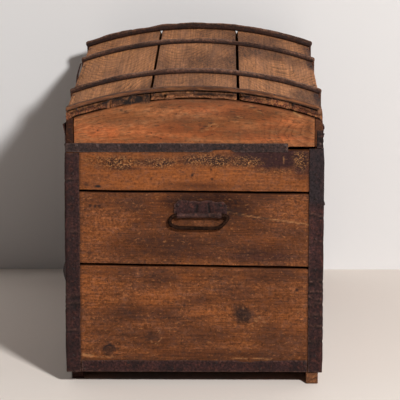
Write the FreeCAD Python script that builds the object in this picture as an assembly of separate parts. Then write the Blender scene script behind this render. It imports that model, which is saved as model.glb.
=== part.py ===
# A dome top trunk: a nailed plank case on two runners, with a shallow domed lid.
# Iron straps, bands and corner irons tie the boards, and each end has a drop handle.
# Frame in millimetres: +X to the right end, -Y to the front, +Z up.
# The origin is on the floor, under the middle of the case.
import FreeCAD, Part
import functools
import math
import os

Vector = FreeCAD.Vector

# Case boards
case_length = 1000.0
case_depth = 516.0
case_height = 463.0          # underside of the bottom boards to the rim
wall = 16.0                  # side planks, end planks, lid rails and lid end panels
bottom_wall = 14.0
end_seam_shares = (0.477, 0.806)    # seams of the end planks, up the height of the case
side_seam_shares = (0.423, 0.745)   # seams of the front and back planks
seam_gap = 3.0               # planks have shrunk this far apart
bottom_seam_share = 0.333    # centre line to each gap in the bottom, of the half depth
bottom_gap = 2.0

# Runners
runner_height = 24.0
runner_width = 26.0
runner_inset = 5.0
front_runner_setback = 40.0  # the front runner stops short of the right end

# Lid boards
lid_clearance = 0.4          # rim to lid
lid_side = 58.0              # height of the rails under the top boards
lid_rise = 44.0              # rise of the dome over the rails
lid_wall = 13.0              # top boards
lid_seam_share = 0.341       # centre line to each gap in the top, of the half depth
lid_seam_gap = 4.0

# Corner irons and straps
strap_iron = 2.0
corner_leg = 30.0
bottom_strap_height = 26.0
lid_strap_above = 11.0       # the lid straps stand this far above the seam
lid_strap_below = 9.0        # and hang this far below it
lid_strap_short = 69.0       # the right strap is broken off this far from the back
iron_clearance = 0.4
lid_corner_leg = 15.0
lid_corner_height = 37.0
lid_patch_width = 26.0       # flat iron nailed over the lid's corner at the front
lid_patch_height = 38.0

# Lid bands and the wooden hoop at the right end
band_width = 26.0
band_edge = 2.0              # height of the band's square edge
band_crown = 7.0             # height of its half-round top
band_leg = 4.0               # thickness down the lid's sides
band_shoulder = 1.0          # how far the top bar stands past the legs
band_offset = 235.0          # middle of the trunk to each middle band
band_end_inset = 1.0         # far band to the left end
band_seat = 0.2
hoop_width = 24.0
hoop_wall = 8.0

# Hinges
knuckle_radius = 6.0
hinge_pin_radius = 3.0
pin_head = 1.5
pin_head_lap = 0.8
pin_clearance = 0.05
knuckle_gap = 0.4
knuckle_stand_off = 0.3
lid_knuckle_length = 10.0
hinge_strap = 3.0
hinge_strap_length = 165.0
hinge_tail = 70.0            # length of the tail that has sprung off the back
hinge_tail_out = 12.0

# Handles
handle_height = 327.5        # pivot above the underside of the bottom
handle_offset = 10.0         # towards the back
handle_plate = 3.0
handle_plate_width = 108.0
handle_plate_above = 33.0    # plate above and below the pivot
handle_plate_below = 6.5
handle_plate_corner = 9.0
handle_stand_off = 8.0       # pivot off the end plank
eye_radius = 6.6
eye_length = 9.0
eye_clearance = 0.3
bail_radius = 4.0
bail_bend = 13.0
bail_straight = 94.0         # straight length of the grip
bail_pin = 11.0              # length of the inturned ends

# Hasp and padlock eye
hasp_plate = 3.0
hasp_plate_width = 84.0
hasp_plate_share = 0.30      # plate height, of the height from the pivot to the lid's upper edge
hasp_knuckle_radius = 5.0
hasp_knuckle_length = 16.0
hasp_pin_radius = 2.5
hasp_clearance = 0.5
hasp_width = 36.0
hasp_iron = 3.0
hasp_reach = 84.0            # pivot to the hasp's end
hasp_corner = 8.0
slot_width = 9.0
slot_height = 24.0
lock_plate = 2.4
lock_plate_width = 72.0
lock_plate_height = 66.0
lock_plate_drop = 14.0       # rim to the plate's top edge
padlock_eye_drop = 45.0      # rim to the middle of the eye
padlock_hole_radius = 4.0
padlock_hole_stand_off = 0.8
padlock_eye_rim = 3.2
padlock_eye_iron = 6.0
padlock_tang_height = 8.0
padlock_tang_depth = 13.0    # into the front plank

# Forged nails
nail_shank = 2.6
nail_tip = 1.0
nail_head = 6.0
nail_head_top = 2.6
nail_head_height = 1.4
nail_clearance = 0.15
strap_nail_length = 14.0
band_nail_length = 18.0
corner_nail_length = 32.0
end_band_nail_length = 38.0
strap_nail_pitch = 44.0
band_nail_pitch = 74.0
edge_nail_inset = 6.0        # lid board nails in from the lid's sides
board_nail_length = 24.0
board_nail_pitch = 150.0
runner_nail_length = 30.0
runner_nail_pitch = 300.0
overrun = 1.0                # how far cuts run past a face

# Where nails stand in a plank or strap, as shares of its height or width
end_leg_nail_shares = (0.12, 0.55)
side_leg_nail_shares = (0.30, 0.80)
bottom_strap_nail_shares = (0.27, 0.77)
handle_nail_share = 0.40
hinge_nail_shares = (0.14, 0.30, 0.46)
leg_nail_share = 0.55

# Levels and half sizes
half_length = case_length / 2
half_depth = case_depth / 2
base_z = runner_height
floor_z = base_z + bottom_wall
rim_z = base_z + case_height
lid_z = rim_z + lid_clearance
end_inside = half_length - wall
side_inside = half_depth - wall
bottom_seam = bottom_seam_share * half_depth
lid_seam = lid_seam_share * half_depth

# Dome: the underside of the top boards is an arc across the depth of the lid
dome_radius = (half_depth ** 2 + lid_rise ** 2) / (2 * lid_rise)
dome_centre_z = lid_z + lid_side + lid_rise - dome_radius
dome_top_radius = dome_radius + lid_wall

# Axes of the moving pieces
hinge_y = half_depth + knuckle_radius + knuckle_stand_off
hinge_z = rim_z + lid_clearance / 2
handle_x = half_length + handle_stand_off
handle_z = base_z + handle_height

# The hasp is kept turned up, leaning back on the lid's upper front edge.
# Its pivot stands out just far enough for it to lean there without touching its own plate.
hasp_z = lid_z + lid_strap_above + iron_clearance + hasp_knuckle_radius + hasp_clearance
lid_edge_z = dome_centre_z + math.sqrt(dome_top_radius ** 2 - half_depth ** 2)
hasp_plate_height = hasp_plate_share * (lid_edge_z - hasp_z)
hasp_gap = (hasp_plate + hasp_clearance) / (1 - hasp_plate_share)
hasp_y = -(half_depth + hasp_gap + hasp_iron / 2)
hasp_lean = math.degrees(math.atan((hasp_gap - hasp_clearance) / (lid_edge_z - hasp_z)))

# The padlock eye stands through the slot when the hasp is swung down
padlock_y = hasp_y - hasp_iron / 2 - padlock_hole_stand_off - padlock_hole_radius
padlock_z = rim_z - padlock_eye_drop

pieces = {}
case_nails = []
runner_nails = []
lid_nails = []
lid_board_nails = []


def block(x0, x1, y0, y1, z0, z1):
    return Part.makeBox(x1 - x0, y1 - y0, z1 - z0, Vector(x0, y0, z0))


def rod(start, end, radius):
    along = end - start
    return Part.makeCylinder(radius, along.Length, start, along)


def line(a, b):
    return Part.LineSegment(a, b).toShape()


def arc(a, middle, b):
    return Part.Arc(a, middle, b).toShape()


def closed_face(edges):
    return Part.Face(Part.Wire(edges))


def flat_plate(corners, thickness):
    return Part.Face(Part.makePolygon(corners + corners[:1])).extrude(thickness)


def spaced(first, last, pitch):
    # Even places from first to last, as near to the pitch as a whole count allows
    count = max(1, round((last - first) / pitch))
    return [first + (last - first) * i / count for i in range(count + 1)]


def square(width, z):
    h = width / 2
    corners = [Vector(-h, -h, z), Vector(h, -h, z), Vector(h, h, z), Vector(-h, h, z)]
    return Part.makePolygon(corners + corners[:1])


def placed(shape, point, direction):
    # A nail is made pointing down, with the underside of its head at the origin
    turned = shape.copy()
    turned.Placement = FreeCAD.Placement(point, FreeCAD.Rotation(Vector(0, 0, -1), direction))
    return turned


@functools.cache
def nail_solid(length):
    shank = Part.makeLoft([square(nail_shank, 0), square(nail_tip, -length)], True, True)
    head = Part.makeLoft([square(nail_head, 0), square(nail_head_top, nail_head_height)], True, True)
    return head.fuse(shank)


@functools.cache
def nail_hole(length):
    wide = nail_shank + 2 * nail_clearance
    tip = nail_tip + 2 * nail_clearance
    taper = Part.makeLoft([square(wide, 0), square(tip, -length - nail_clearance)], True, True)
    mouth = Part.makeLoft([square(wide, 0), square(wide, overrun)], True, True)
    return taper.fuse(mouth).removeSplitter()


def drive(nails, point, direction, length):
    nails.append((point, direction, length))


def dome_z(radius, y):
    return dome_centre_z + math.sqrt(radius ** 2 - y ** 2)


def dome_point(radius, angle, x):
    return Vector(x, radius * math.sin(angle), dome_centre_z + radius * math.cos(angle))


def dome_slab(x0, x1, y0, y1, inner, outer):
    # A board or hoop bent over the dome, with upright edges
    middle = (y0 + y1) / 2
    low = [Vector(x0, y, dome_z(inner, y)) for y in (y0, middle, y1)]
    high = [Vector(x0, y, dome_z(outer, y)) for y in (y0, middle, y1)]
    edges = [arc(*low), line(low[2], high[2]), arc(*reversed(high)), line(high[0], low[0])]
    return closed_face(edges).extrude(Vector(x1 - x0, 0, 0))


def under_dome(x0, x1, y0, y1):
    # An upright lid board whose top edge follows the underside of the dome
    middle = (y0 + y1) / 2
    top = [Vector(x0, y, dome_z(dome_radius, y)) for y in (y0, middle, y1)]
    foot = [Vector(x0, y, lid_z) for y in (y0, y1)]
    edges = [line(foot[0], foot[1]), line(foot[1], top[2]), arc(*reversed(top)), line(top[0], foot[0])]
    return closed_face(edges).extrude(Vector(x1 - x0, 0, 0))


def plank_levels(seam_shares):
    # Lower and upper level of each of a wall's three planks
    low, high = (base_z + share * case_height for share in seam_shares)
    gap = seam_gap / 2
    return {
        "lower": (floor_z, low - gap),
        "middle": (low + gap, high - gap),
        "upper": (high + gap, rim_z),
    }


def make_case_boards():
    for level, (z0, z1) in plank_levels(side_seam_shares).items():
        pieces["front_plank_" + level] = block(-half_length, half_length, -half_depth, -side_inside, z0, z1)
        pieces["back_plank_" + level] = block(-half_length, half_length, side_inside, half_depth, z0, z1)
    for level, (z0, z1) in plank_levels(end_seam_shares).items():
        pieces["right_end_plank_" + level] = block(end_inside, half_length, -side_inside, side_inside, z0, z1)
        pieces["left_end_plank_" + level] = block(-half_length, -end_inside, -side_inside, side_inside,
                                                   z0, z1)
    gap = bottom_gap / 2
    strips = {
        "front": (-half_depth, -bottom_seam - gap),
        "middle": (-bottom_seam + gap, bottom_seam - gap),
        "back": (bottom_seam + gap, half_depth),
    }
    for name, (y0, y1) in strips.items():
        pieces["bottom_board_" + name] = block(-half_length, half_length, y0, y1, base_z, floor_z)


def make_runners():
    outer = half_depth - runner_inset
    inner = outer - runner_width
    ends = {"front": half_length - front_runner_setback, "back": half_length}
    for name, right_end in ends.items():
        y0, y1 = (-outer, -inner) if name == "front" else (inner, outer)
        pieces["runner_" + name] = block(-half_length, right_end, y0, y1, 0, base_z)
        nail_y = math.copysign(side_inside - nail_head, y0)
        for x in spaced(nail_head - end_inside, right_end - wall - nail_head, runner_nail_pitch):
            drive(runner_nails, Vector(x, nail_y, floor_z), Vector(0, 0, -1), runner_nail_length)


def make_corner_iron(end, side):
    # An angle iron over one upright corner of the case; end and side are +1 or -1
    top = rim_z if side > 0 else rim_z - lid_strap_below - iron_clearance
    outer_x, outer_y = half_length + strap_iron, half_depth + strap_iron
    x_span = sorted((end * outer_x, end * (outer_x - corner_leg)))
    y_span = sorted((side * outer_y, side * (outer_y - corner_leg)))
    corner = block(*x_span, *y_span, base_z, top)
    iron = corner.cut(block(-half_length, half_length, -half_depth, half_depth, 0, top + overrun))
    name = f"corner_iron_{'back' if side > 0 else 'front'}_{'right' if end > 0 else 'left'}"
    pieces[name] = iron
    leg_middle = corner_leg / 2
    for z0, z1 in plank_levels(side_seam_shares).values():
        for share in end_leg_nail_shares:
            point = Vector(end * outer_x, side * (outer_y - leg_middle), z0 + share * (z1 - z0))
            drive(case_nails, point, Vector(-end, 0, 0), corner_nail_length)
        for share in side_leg_nail_shares:
            point = Vector(end * (outer_x - leg_middle), side * outer_y, z0 + share * (z1 - z0))
            drive(case_nails, point, Vector(0, -side, 0), corner_nail_length)


def make_bottom_straps():
    top = base_z + bottom_strap_height
    reach_x = half_length + strap_iron - corner_leg
    reach_y = half_depth + strap_iron - corner_leg
    levels = [base_z + share * bottom_strap_height for share in bottom_strap_nail_shares]
    for name, side in (("front", -1), ("back", 1)):
        y_span = sorted((side * half_depth, side * (half_depth + strap_iron)))
        pieces["bottom_strap_" + name] = block(-reach_x, reach_x, *y_span, base_z, top)
        for i, x in enumerate(spaced(nail_head - reach_x, reach_x - nail_head, 2 * strap_nail_pitch)):
            point = Vector(x, side * (half_depth + strap_iron), levels[i % 2])
            drive(case_nails, point, Vector(0, -side, 0), strap_nail_length)
    for name, end in (("left", -1), ("right", 1)):
        x_span = sorted((end * half_length, end * (half_length + strap_iron)))
        pieces["bottom_strap_" + name] = block(*x_span, -reach_y, reach_y, base_z, top)
        for i, y in enumerate(spaced(nail_head - reach_y, reach_y - nail_head, 2 * strap_nail_pitch)):
            point = Vector(end * (half_length + strap_iron), y, levels[i % 2])
            drive(case_nails, point, Vector(-end, 0, 0), strap_nail_length)


def make_handle(name, end):
    # Back plate with two eyes, and a bail whose inturned ends turn in them
    face_x = end * half_length
    front_x = end * (half_length + handle_plate)
    half_width = handle_plate_width / 2
    low, high = handle_z - handle_plate_below, handle_z + handle_plate_above
    shoulder = high - handle_plate_corner
    top_half = half_width - handle_plate_corner
    outline = [(-top_half, high), (top_half, high), (half_width, shoulder),
               (half_width, low), (-half_width, low), (-half_width, shoulder)]
    corners = [Vector(face_x, handle_offset + y, z) for y, z in outline]
    plate = flat_plate(corners, Vector(front_x - face_x, 0, 0))
    pivot = Vector(end * handle_x, handle_offset, handle_z)
    grip_half = bail_straight / 2
    pin_end = grip_half - bail_pin
    nail_z = (handle_z + eye_radius + high) / 2
    for side in (-1, 1):
        near = pivot + Vector(0, side * pin_end, 0)
        far = pivot + Vector(0, side * (pin_end + eye_length), 0)
        past = Vector(0, side * overrun, 0)
        web = block(*sorted((front_x, pivot.x)), *sorted((near.y, far.y)), handle_z, handle_z + eye_radius)
        plate = plate.fuse([rod(near, far, eye_radius), web])
        plate = plate.cut(rod(near - past, far + past, bail_radius + eye_clearance))
        point = Vector(front_x, handle_offset + side * handle_nail_share * handle_plate_width, nail_z)
        drive(case_nails, point, Vector(-end, 0, 0), strap_nail_length)
    pieces["handle_plate_" + name] = plate.removeSplitter()
    pieces["handle_bail_" + name] = bail_solid(pivot, grip_half, pin_end)


def bail_solid(pivot, grip_half, pin_end):
    def at(y, z):
        return pivot + Vector(0, y, z)

    drop = -2 * bail_bend
    path = Part.Wire([
        line(at(pin_end, 0), at(grip_half, 0)),
        arc(at(grip_half, 0), at(grip_half + bail_bend, -bail_bend), at(grip_half, drop)),
        line(at(grip_half, drop), at(-grip_half, drop)),
        arc(at(-grip_half, drop), at(-grip_half - bail_bend, -bail_bend), at(-grip_half, 0)),
        line(at(-grip_half, 0), at(-pin_end, 0)),
    ])
    section = Part.Wire(Part.makeCircle(bail_radius, at(pin_end, 0), Vector(0, 1, 0)))
    return path.makePipeShell([section], True, True)


def hinge_knuckle(x0, x1, radius):
    return rod(Vector(x0, hinge_y, hinge_z), Vector(x1, hinge_y, hinge_z), radius)


def make_case_hinge(name, x):
    # Strap down the back with a knuckle each side of the band's own, and the pin
    x0, x1 = x - band_width / 2, x + band_width / 2
    gap0 = x - lid_knuckle_length / 2 - knuckle_gap
    gap1 = x + lid_knuckle_length / 2 + knuckle_gap
    tail_z = rim_z - hinge_strap_length + hinge_tail
    bend = (hinge_tail ** 2 + hinge_tail_out ** 2) / (2 * hinge_tail_out)
    sweep = math.asin(hinge_tail / bend)
    centre_y = half_depth + bend

    def on_tail(radius, angle):
        return Vector(x0, centre_y - radius * math.cos(angle), tail_z - radius * math.sin(angle))

    inner = [on_tail(bend, a) for a in (0, sweep / 2, sweep)]
    outer = [on_tail(bend - hinge_strap, a) for a in (0, sweep / 2, sweep)]
    head = [Vector(x0, y, hinge_z) for y in (half_depth, half_depth + hinge_strap)]
    edges = [line(head[0], inner[0]), arc(*inner), line(inner[2], outer[2]), arc(*reversed(outer)),
             line(outer[0], head[1]), line(head[1], head[0])]
    strap = closed_face(edges).extrude(Vector(band_width, 0, 0))
    strap = strap.fuse([hinge_knuckle(x0, gap0, knuckle_radius), hinge_knuckle(gap1, x1, knuckle_radius)])
    strap = strap.cut(hinge_knuckle(gap0, gap1, knuckle_radius + knuckle_gap))
    strap = strap.cut(hinge_knuckle(x0 - overrun, x1 + overrun, hinge_pin_radius + pin_clearance))
    pieces["hinge_strap_" + name] = strap.removeSplitter()
    pieces["hinge_pin_" + name] = headed_pin(hinge_knuckle, x0, x1, hinge_pin_radius)
    for share in hinge_nail_shares:
        point = Vector(x, half_depth + hinge_strap, rim_z - share * hinge_strap_length)
        drive(case_nails, point, Vector(0, -1, 0), strap_nail_length)


def make_lid_boards():
    pieces["lid_rail_front"] = under_dome(-half_length, half_length, -half_depth, -side_inside)
    pieces["lid_rail_back"] = under_dome(-half_length, half_length, side_inside, half_depth)
    pieces["lid_end_panel_right"] = under_dome(end_inside, half_length, -side_inside, side_inside)
    pieces["lid_end_panel_left"] = under_dome(-half_length, -end_inside, -side_inside, side_inside)
    gap = lid_seam_gap / 2
    strips = {
        "front": (-half_depth, -lid_seam - gap),
        "middle": (-lid_seam + gap, lid_seam - gap),
        "back": (lid_seam + gap, half_depth),
    }
    for name, (y0, y1) in strips.items():
        pieces["lid_board_" + name] = dome_slab(-half_length, half_length, y0, y1,
                                                 dome_radius, dome_top_radius)
    # Nails through the outer top boards into the rails, clear of the bands and the hasp
    angle = math.asin((half_depth - edge_nail_inset) / dome_top_radius)
    clear = max(band_width, hasp_width) / 2 + nail_head
    last = half_length - board_nail_pitch / 2
    for x in spaced(-last, last, board_nail_pitch):
        if min(abs(x - taken) for taken in (band_offset, -band_offset, 0)) < clear:
            continue
        for side in (-1, 1):
            point = dome_point(dome_top_radius, side * angle, x)
            inward = Vector(0, -side * math.sin(angle), -math.cos(angle))
            drive(lid_board_nails, point, inward, board_nail_length)


def make_hoop():
    # Bent wooden hoop over the board ends at the right, where an iron band is gone
    seat = dome_top_radius + band_seat
    x0 = half_length - hoop_width
    pieces["lid_end_hoop"] = dome_slab(x0, half_length, -half_depth, half_depth, seat, seat + hoop_wall)
    drive_band_nails(half_length - wall / 2, seat + hoop_wall, end_band_nail_length)


def drive_band_nails(x, radius, length):
    # Nails along the top of a band, clear of the gaps between the boards
    reach = math.asin((half_depth - wall - nail_head) / dome_top_radius)
    for angle in spaced(-reach, reach, band_nail_pitch / dome_top_radius):
        if abs(abs(radius * math.sin(angle)) - lid_seam) < nail_head:
            continue
        point = dome_point(radius, angle, x)
        drive(lid_nails, point, Vector(0, -math.sin(angle), -math.cos(angle)), length)


def band_bar(x):
    # Half-round bar bent over the dome, past both sides of the lid
    seat = dome_centre_z + dome_top_radius + band_seat
    h = band_width / 2
    foot = [Vector(x - h, 0, seat), Vector(x + h, 0, seat)]
    edge = [Vector(x - h, 0, seat + band_edge), Vector(x + h, 0, seat + band_edge)]
    crown = Vector(x, 0, seat + band_crown)
    profile = closed_face([line(foot[0], foot[1]), line(foot[1], edge[1]),
                           arc(edge[1], crown, edge[0]), line(edge[0], foot[0])])
    reach = math.degrees(math.asin((half_depth + band_leg + band_shoulder) / (dome_top_radius + band_seat)))
    axis = Vector(0, 0, dome_centre_z)
    profile.rotate(axis, Vector(1, 0, 0), -reach)
    return profile.revolve(axis, Vector(1, 0, 0), 2 * reach)


def make_band(name, x, hinged, nail_length):
    # Bar over the dome with a flat leg down each side; a hinged band ends in a knuckle
    x0, x1 = x - band_width / 2, x + band_width / 2
    top = dome_z(dome_top_radius, half_depth) + band_seat + band_edge
    front_foot = lid_z + lid_strap_above + iron_clearance
    back_foot = hinge_z if hinged else lid_z + iron_clearance
    band = band_bar(x).fuse([
        block(x0, x1, -half_depth - band_leg, -half_depth, front_foot, top),
        block(x0, x1, half_depth, half_depth + band_leg, back_foot, top),
    ])
    if hinged:
        k0, k1 = x - lid_knuckle_length / 2, x + lid_knuckle_length / 2
        reach = knuckle_radius + knuckle_gap
        band = band.cut([hinge_knuckle(x0 - overrun, k0, reach), hinge_knuckle(k1, x1 + overrun, reach)])
        band = band.fuse(hinge_knuckle(k0, k1, knuckle_radius))
        band = band.cut(hinge_knuckle(k0 - overrun, k1 + overrun, hinge_pin_radius + pin_clearance))
    pieces[name] = band.removeSplitter()
    drive_band_nails(x, dome_top_radius + band_seat + band_crown, nail_length)
    for side in (-1, 1):
        z = lid_z + leg_nail_share * lid_side
        point = Vector(x, side * (half_depth + band_leg), z)
        drive(lid_nails, point, Vector(0, -side, 0), strap_nail_length)


def make_lid_straps():
    # Flat straps round the foot of the lid, hanging over the seam as a lip
    low, high = rim_z - lid_strap_below, lid_z + lid_strap_above
    nail_z = lid_z + lid_strap_above / 2
    reach_x = half_length + strap_iron
    pieces["lid_strap_front"] = block(-reach_x, reach_x, -half_depth - strap_iron, -half_depth, low, high)
    clear = hasp_plate_width / 2 + nail_head
    for x in spaced(wall / 2 - half_length, half_length - wall / 2, strap_nail_pitch):
        if abs(x) > clear:
            point = Vector(x, -half_depth - strap_iron, nail_z)
            drive(lid_nails, point, Vector(0, 1, 0), strap_nail_length)
    back_ends = {"right": half_depth - lid_strap_short, "left": half_depth + strap_iron - corner_leg}
    for name, end in (("right", 1), ("left", -1)):
        x_span = sorted((end * half_length, end * reach_x))
        back = back_ends[name] - iron_clearance
        pieces["lid_strap_" + name] = block(*x_span, -half_depth, back, low, high)
        for y in spaced(-side_inside + nail_head, back - nail_head, strap_nail_pitch):
            drive(lid_nails, Vector(end * reach_x, y, nail_z), Vector(-end, 0, 0), strap_nail_length)


def make_lid_corner_irons():
    # An angle iron over the lid's lower corner at the back of the right end,
    # and a flat patch above the lip strap at the front of it
    outer_x, outer_y = half_length + strap_iron, half_depth + strap_iron
    low, high = lid_z, lid_z + lid_corner_height
    corner = block(outer_x - lid_corner_leg, outer_x, outer_y - lid_corner_leg, outer_y, low, high)
    timber = block(0, half_length, 0, half_depth, low - overrun, high + overrun)
    pieces["lid_corner_iron_back"] = corner.cut(timber)
    middle = lid_corner_leg / 2
    quarter = lid_corner_height / 4
    drive(lid_nails, Vector(outer_x, outer_y - middle, low + quarter), Vector(-1, 0, 0), strap_nail_length)
    drive(lid_nails, Vector(outer_x - middle, outer_y, high - quarter), Vector(0, -1, 0), strap_nail_length)
    foot = lid_z + lid_strap_above
    pieces["lid_corner_iron_front"] = block(half_length - lid_patch_width, half_length, -outer_y, -half_depth,
                                            foot, foot + lid_patch_height)
    point = Vector(half_length - lid_patch_width / 2, -outer_y, foot + lid_patch_height / 2)
    drive(lid_nails, point, Vector(0, 1, 0), strap_nail_length)


def hasp_knuckle(x0, x1, radius):
    return rod(Vector(x0, hasp_y, hasp_z), Vector(x1, hasp_y, hasp_z), radius)


def headed_pin(knuckle, x0, x1, radius):
    # A pin through a row of knuckles, peened over at both ends
    lapped = radius + pin_head_lap
    heads = [knuckle(x0 - pin_head, x0, lapped), knuckle(x1, x1 + pin_head, lapped)]
    return knuckle(x0, x1, radius).fuse(heads).removeSplitter()


def make_hasp():
    # Hinge plate on the lid, and the slotted hasp that swings down over the padlock eye
    half_plate, half_hasp = hasp_plate_width / 2, hasp_width / 2
    k0, k1 = -hasp_knuckle_length / 2, hasp_knuckle_length / 2
    gap0, gap1 = k0 - knuckle_gap, k1 + knuckle_gap
    clear = hasp_knuckle_radius + knuckle_gap
    pin_hole = hasp_pin_radius + pin_clearance
    plate_top = hasp_z + hasp_plate_height
    plate_y = -half_depth - hasp_plate
    plate = block(-half_plate, half_plate, plate_y, -half_depth, hasp_z, plate_top)
    plate = plate.fuse([hasp_knuckle(-half_hasp, gap0, hasp_knuckle_radius),
                        hasp_knuckle(gap1, half_hasp, hasp_knuckle_radius)])
    plate = plate.cut(hasp_knuckle(gap0, gap1, clear))
    plate = plate.cut(hasp_knuckle(-half_plate, half_plate, pin_hole))
    pieces["hasp_plate"] = plate.removeSplitter()
    for side in (-1, 1):
        point = Vector(side * (half_plate - nail_head), plate_y, (hasp_z + plate_top) / 2)
        drive(lid_nails, point, Vector(0, 1, 0), strap_nail_length)

    # Drawn hanging, then turned up to where it is kept
    inner_y, outer_y = hasp_y + hasp_iron / 2, hasp_y - hasp_iron / 2
    end_z = hasp_z - hasp_reach
    end_half = half_hasp - hasp_corner
    outline = [(-half_hasp, hasp_z), (half_hasp, hasp_z), (half_hasp, end_z + hasp_corner),
               (end_half, end_z), (-end_half, end_z), (-half_hasp, end_z + hasp_corner)]
    hasp = flat_plate([Vector(x, outer_y, z) for x, z in outline], Vector(0, hasp_iron, 0))
    hasp = hasp.cut([
        block(-slot_width / 2, slot_width / 2, outer_y - overrun, inner_y + overrun,
              padlock_z - slot_height / 2, padlock_z + slot_height / 2),
        hasp_knuckle(-half_hasp - overrun, k0, clear),
        hasp_knuckle(k1, half_hasp + overrun, clear),
    ])
    hasp = hasp.fuse(hasp_knuckle(k0, k1, hasp_knuckle_radius))
    hasp = hasp.cut(hasp_knuckle(k0 - overrun, k1 + overrun, pin_hole)).removeSplitter()
    hasp.rotate(Vector(0, hasp_y, hasp_z), Vector(1, 0, 0), -180 - hasp_lean)
    pieces["hasp"] = hasp
    pieces["hasp_pin"] = headed_pin(hasp_knuckle, -half_hasp, half_hasp, hasp_pin_radius)


def make_padlock_eye():
    # Forged eye through a plate on the front; its tang is driven into the upper plank
    half_iron = padlock_eye_iron / 2
    half_tang = padlock_tang_height / 2
    ring_radius = padlock_hole_radius + padlock_eye_rim
    middle = Vector(0, padlock_y, padlock_z)
    side = Vector(half_iron, 0, 0)
    past = Vector(half_iron + overrun, 0, 0)
    tang_end = -half_depth + padlock_tang_depth
    tang = block(-half_iron, half_iron, padlock_y, tang_end, padlock_z - half_tang, padlock_z + half_tang)
    eye = rod(middle - side, middle + side, ring_radius).fuse(tang)
    eye = eye.cut(rod(middle - past, middle + past, padlock_hole_radius))
    pieces["padlock_eye"] = eye.removeSplitter()
    socket_half = half_iron + nail_clearance
    socket_reach = half_tang + nail_clearance
    socket = block(-socket_half, socket_half, padlock_y, tang_end + nail_clearance,
                   padlock_z - socket_reach, padlock_z + socket_reach)
    plate_y = -half_depth - lock_plate
    half_plate = lock_plate_width / 2
    top = rim_z - lock_plate_drop
    low = top - lock_plate_height
    pieces["lock_plate"] = block(-half_plate, half_plate, plate_y, -half_depth, low, top).cut(socket)
    pieces["front_plank_upper"] = pieces["front_plank_upper"].cut(socket)
    for x in (nail_head - half_plate, half_plate - nail_head):
        for z in (low + nail_head, top - nail_head):
            drive(case_nails, Vector(x, plate_y, z), Vector(0, 1, 0), strap_nail_length)


def boxes_meet(a, b):
    return a.XMin < b.XMax and b.XMin < a.XMax and a.YMin < b.YMax and b.YMin < a.YMax \
        and a.ZMin < b.ZMax and b.ZMin < a.ZMax


def drill_for_nails(groups):
    # Pilot holes, in every piece that a nail passes through
    holes = [placed(nail_hole(length), point, direction)
             for nails in groups for point, direction, length in nails]
    for name, shape in pieces.items():
        found = [h for h in holes if boxes_meet(h.BoundBox, shape.BoundBox)]
        if found:
            pieces[name] = shape.cut(found)


def add_nails(name, nails):
    pieces[name] = Part.makeCompound([placed(nail_solid(length), p, d) for p, d, length in nails])


def main():
    make_case_boards()
    make_runners()
    for end in (-1, 1):
        for side in (-1, 1):
            make_corner_iron(end, side)
    make_bottom_straps()
    make_handle("right", 1)
    make_handle("left", -1)
    make_case_hinge("right", band_offset)
    make_case_hinge("left", -band_offset)
    make_padlock_eye()
    make_lid_boards()
    make_hoop()
    make_band("lid_band_right", band_offset, True, band_nail_length)
    make_band("lid_band_left", -band_offset, True, band_nail_length)
    far_band_x = -half_length + band_end_inset + band_width / 2
    make_band("lid_end_band", far_band_x, False, end_band_nail_length)
    make_lid_straps()
    make_lid_corner_irons()
    make_hasp()
    drill_for_nails((case_nails, runner_nails, lid_nails, lid_board_nails))
    add_nails("case_iron_nails", case_nails)
    add_nails("runner_nails", runner_nails)
    add_nails("lid_iron_nails", lid_nails)
    add_nails("lid_board_nails", lid_board_nails)
    os.makedirs("parts", exist_ok=True)
    for name, shape in pieces.items():
        shape.exportStep(f"parts/{name}.step")
        print(name, len(shape.Solids), "solids")


main()
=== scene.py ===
# Dome top trunk: worn pine boards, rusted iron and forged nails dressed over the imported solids.
# Metres, +X to the end that is seen, -Y to the front with the hasp, +Z up.
import math

import bpy
import numpy as np
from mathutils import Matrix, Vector


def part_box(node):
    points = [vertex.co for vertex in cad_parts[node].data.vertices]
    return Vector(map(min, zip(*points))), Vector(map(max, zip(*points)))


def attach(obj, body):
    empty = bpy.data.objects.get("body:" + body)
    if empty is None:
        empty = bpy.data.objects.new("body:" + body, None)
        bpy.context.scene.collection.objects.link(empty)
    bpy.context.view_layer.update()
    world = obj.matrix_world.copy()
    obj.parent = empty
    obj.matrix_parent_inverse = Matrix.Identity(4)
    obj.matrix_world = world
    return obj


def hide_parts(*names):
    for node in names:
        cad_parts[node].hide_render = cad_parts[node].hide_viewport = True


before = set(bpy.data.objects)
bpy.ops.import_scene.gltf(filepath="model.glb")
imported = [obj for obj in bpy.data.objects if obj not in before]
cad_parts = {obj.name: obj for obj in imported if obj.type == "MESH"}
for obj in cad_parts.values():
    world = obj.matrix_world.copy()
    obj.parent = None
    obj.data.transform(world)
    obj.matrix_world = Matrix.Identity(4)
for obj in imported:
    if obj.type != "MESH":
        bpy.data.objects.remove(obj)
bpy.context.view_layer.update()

trunk = {"halfLength": 0.500, "halfDepth": 0.258, "lidZ": 0.4874, "lidSide": 0.058, "lidRise": 0.044,
         "lidWall": 0.013}
domeRadius = (trunk["halfDepth"] ** 2 + trunk["lidRise"] ** 2) / (2 * trunk["lidRise"])
domeCentre = trunk["lidZ"] + trunk["lidSide"] + trunk["lidRise"] - domeRadius
domeTop = domeRadius + trunk["lidWall"]
strapGone = (0.184, 0.191)   # the lip strap of the seen end is broken off here, towards the back


def linear(hexText):
    # sRGB hex to linear light: the power curve above its short straight foot
    value = np.array([int(hexText[i:i + 2], 16) for i in (1, 3, 5)]) / 255
    light = np.where(value <= 0.04045, value / 12.92, ((value + 0.055) / 1.055) ** 2.4)
    return (*light.tolist(), 1.0)


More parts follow.
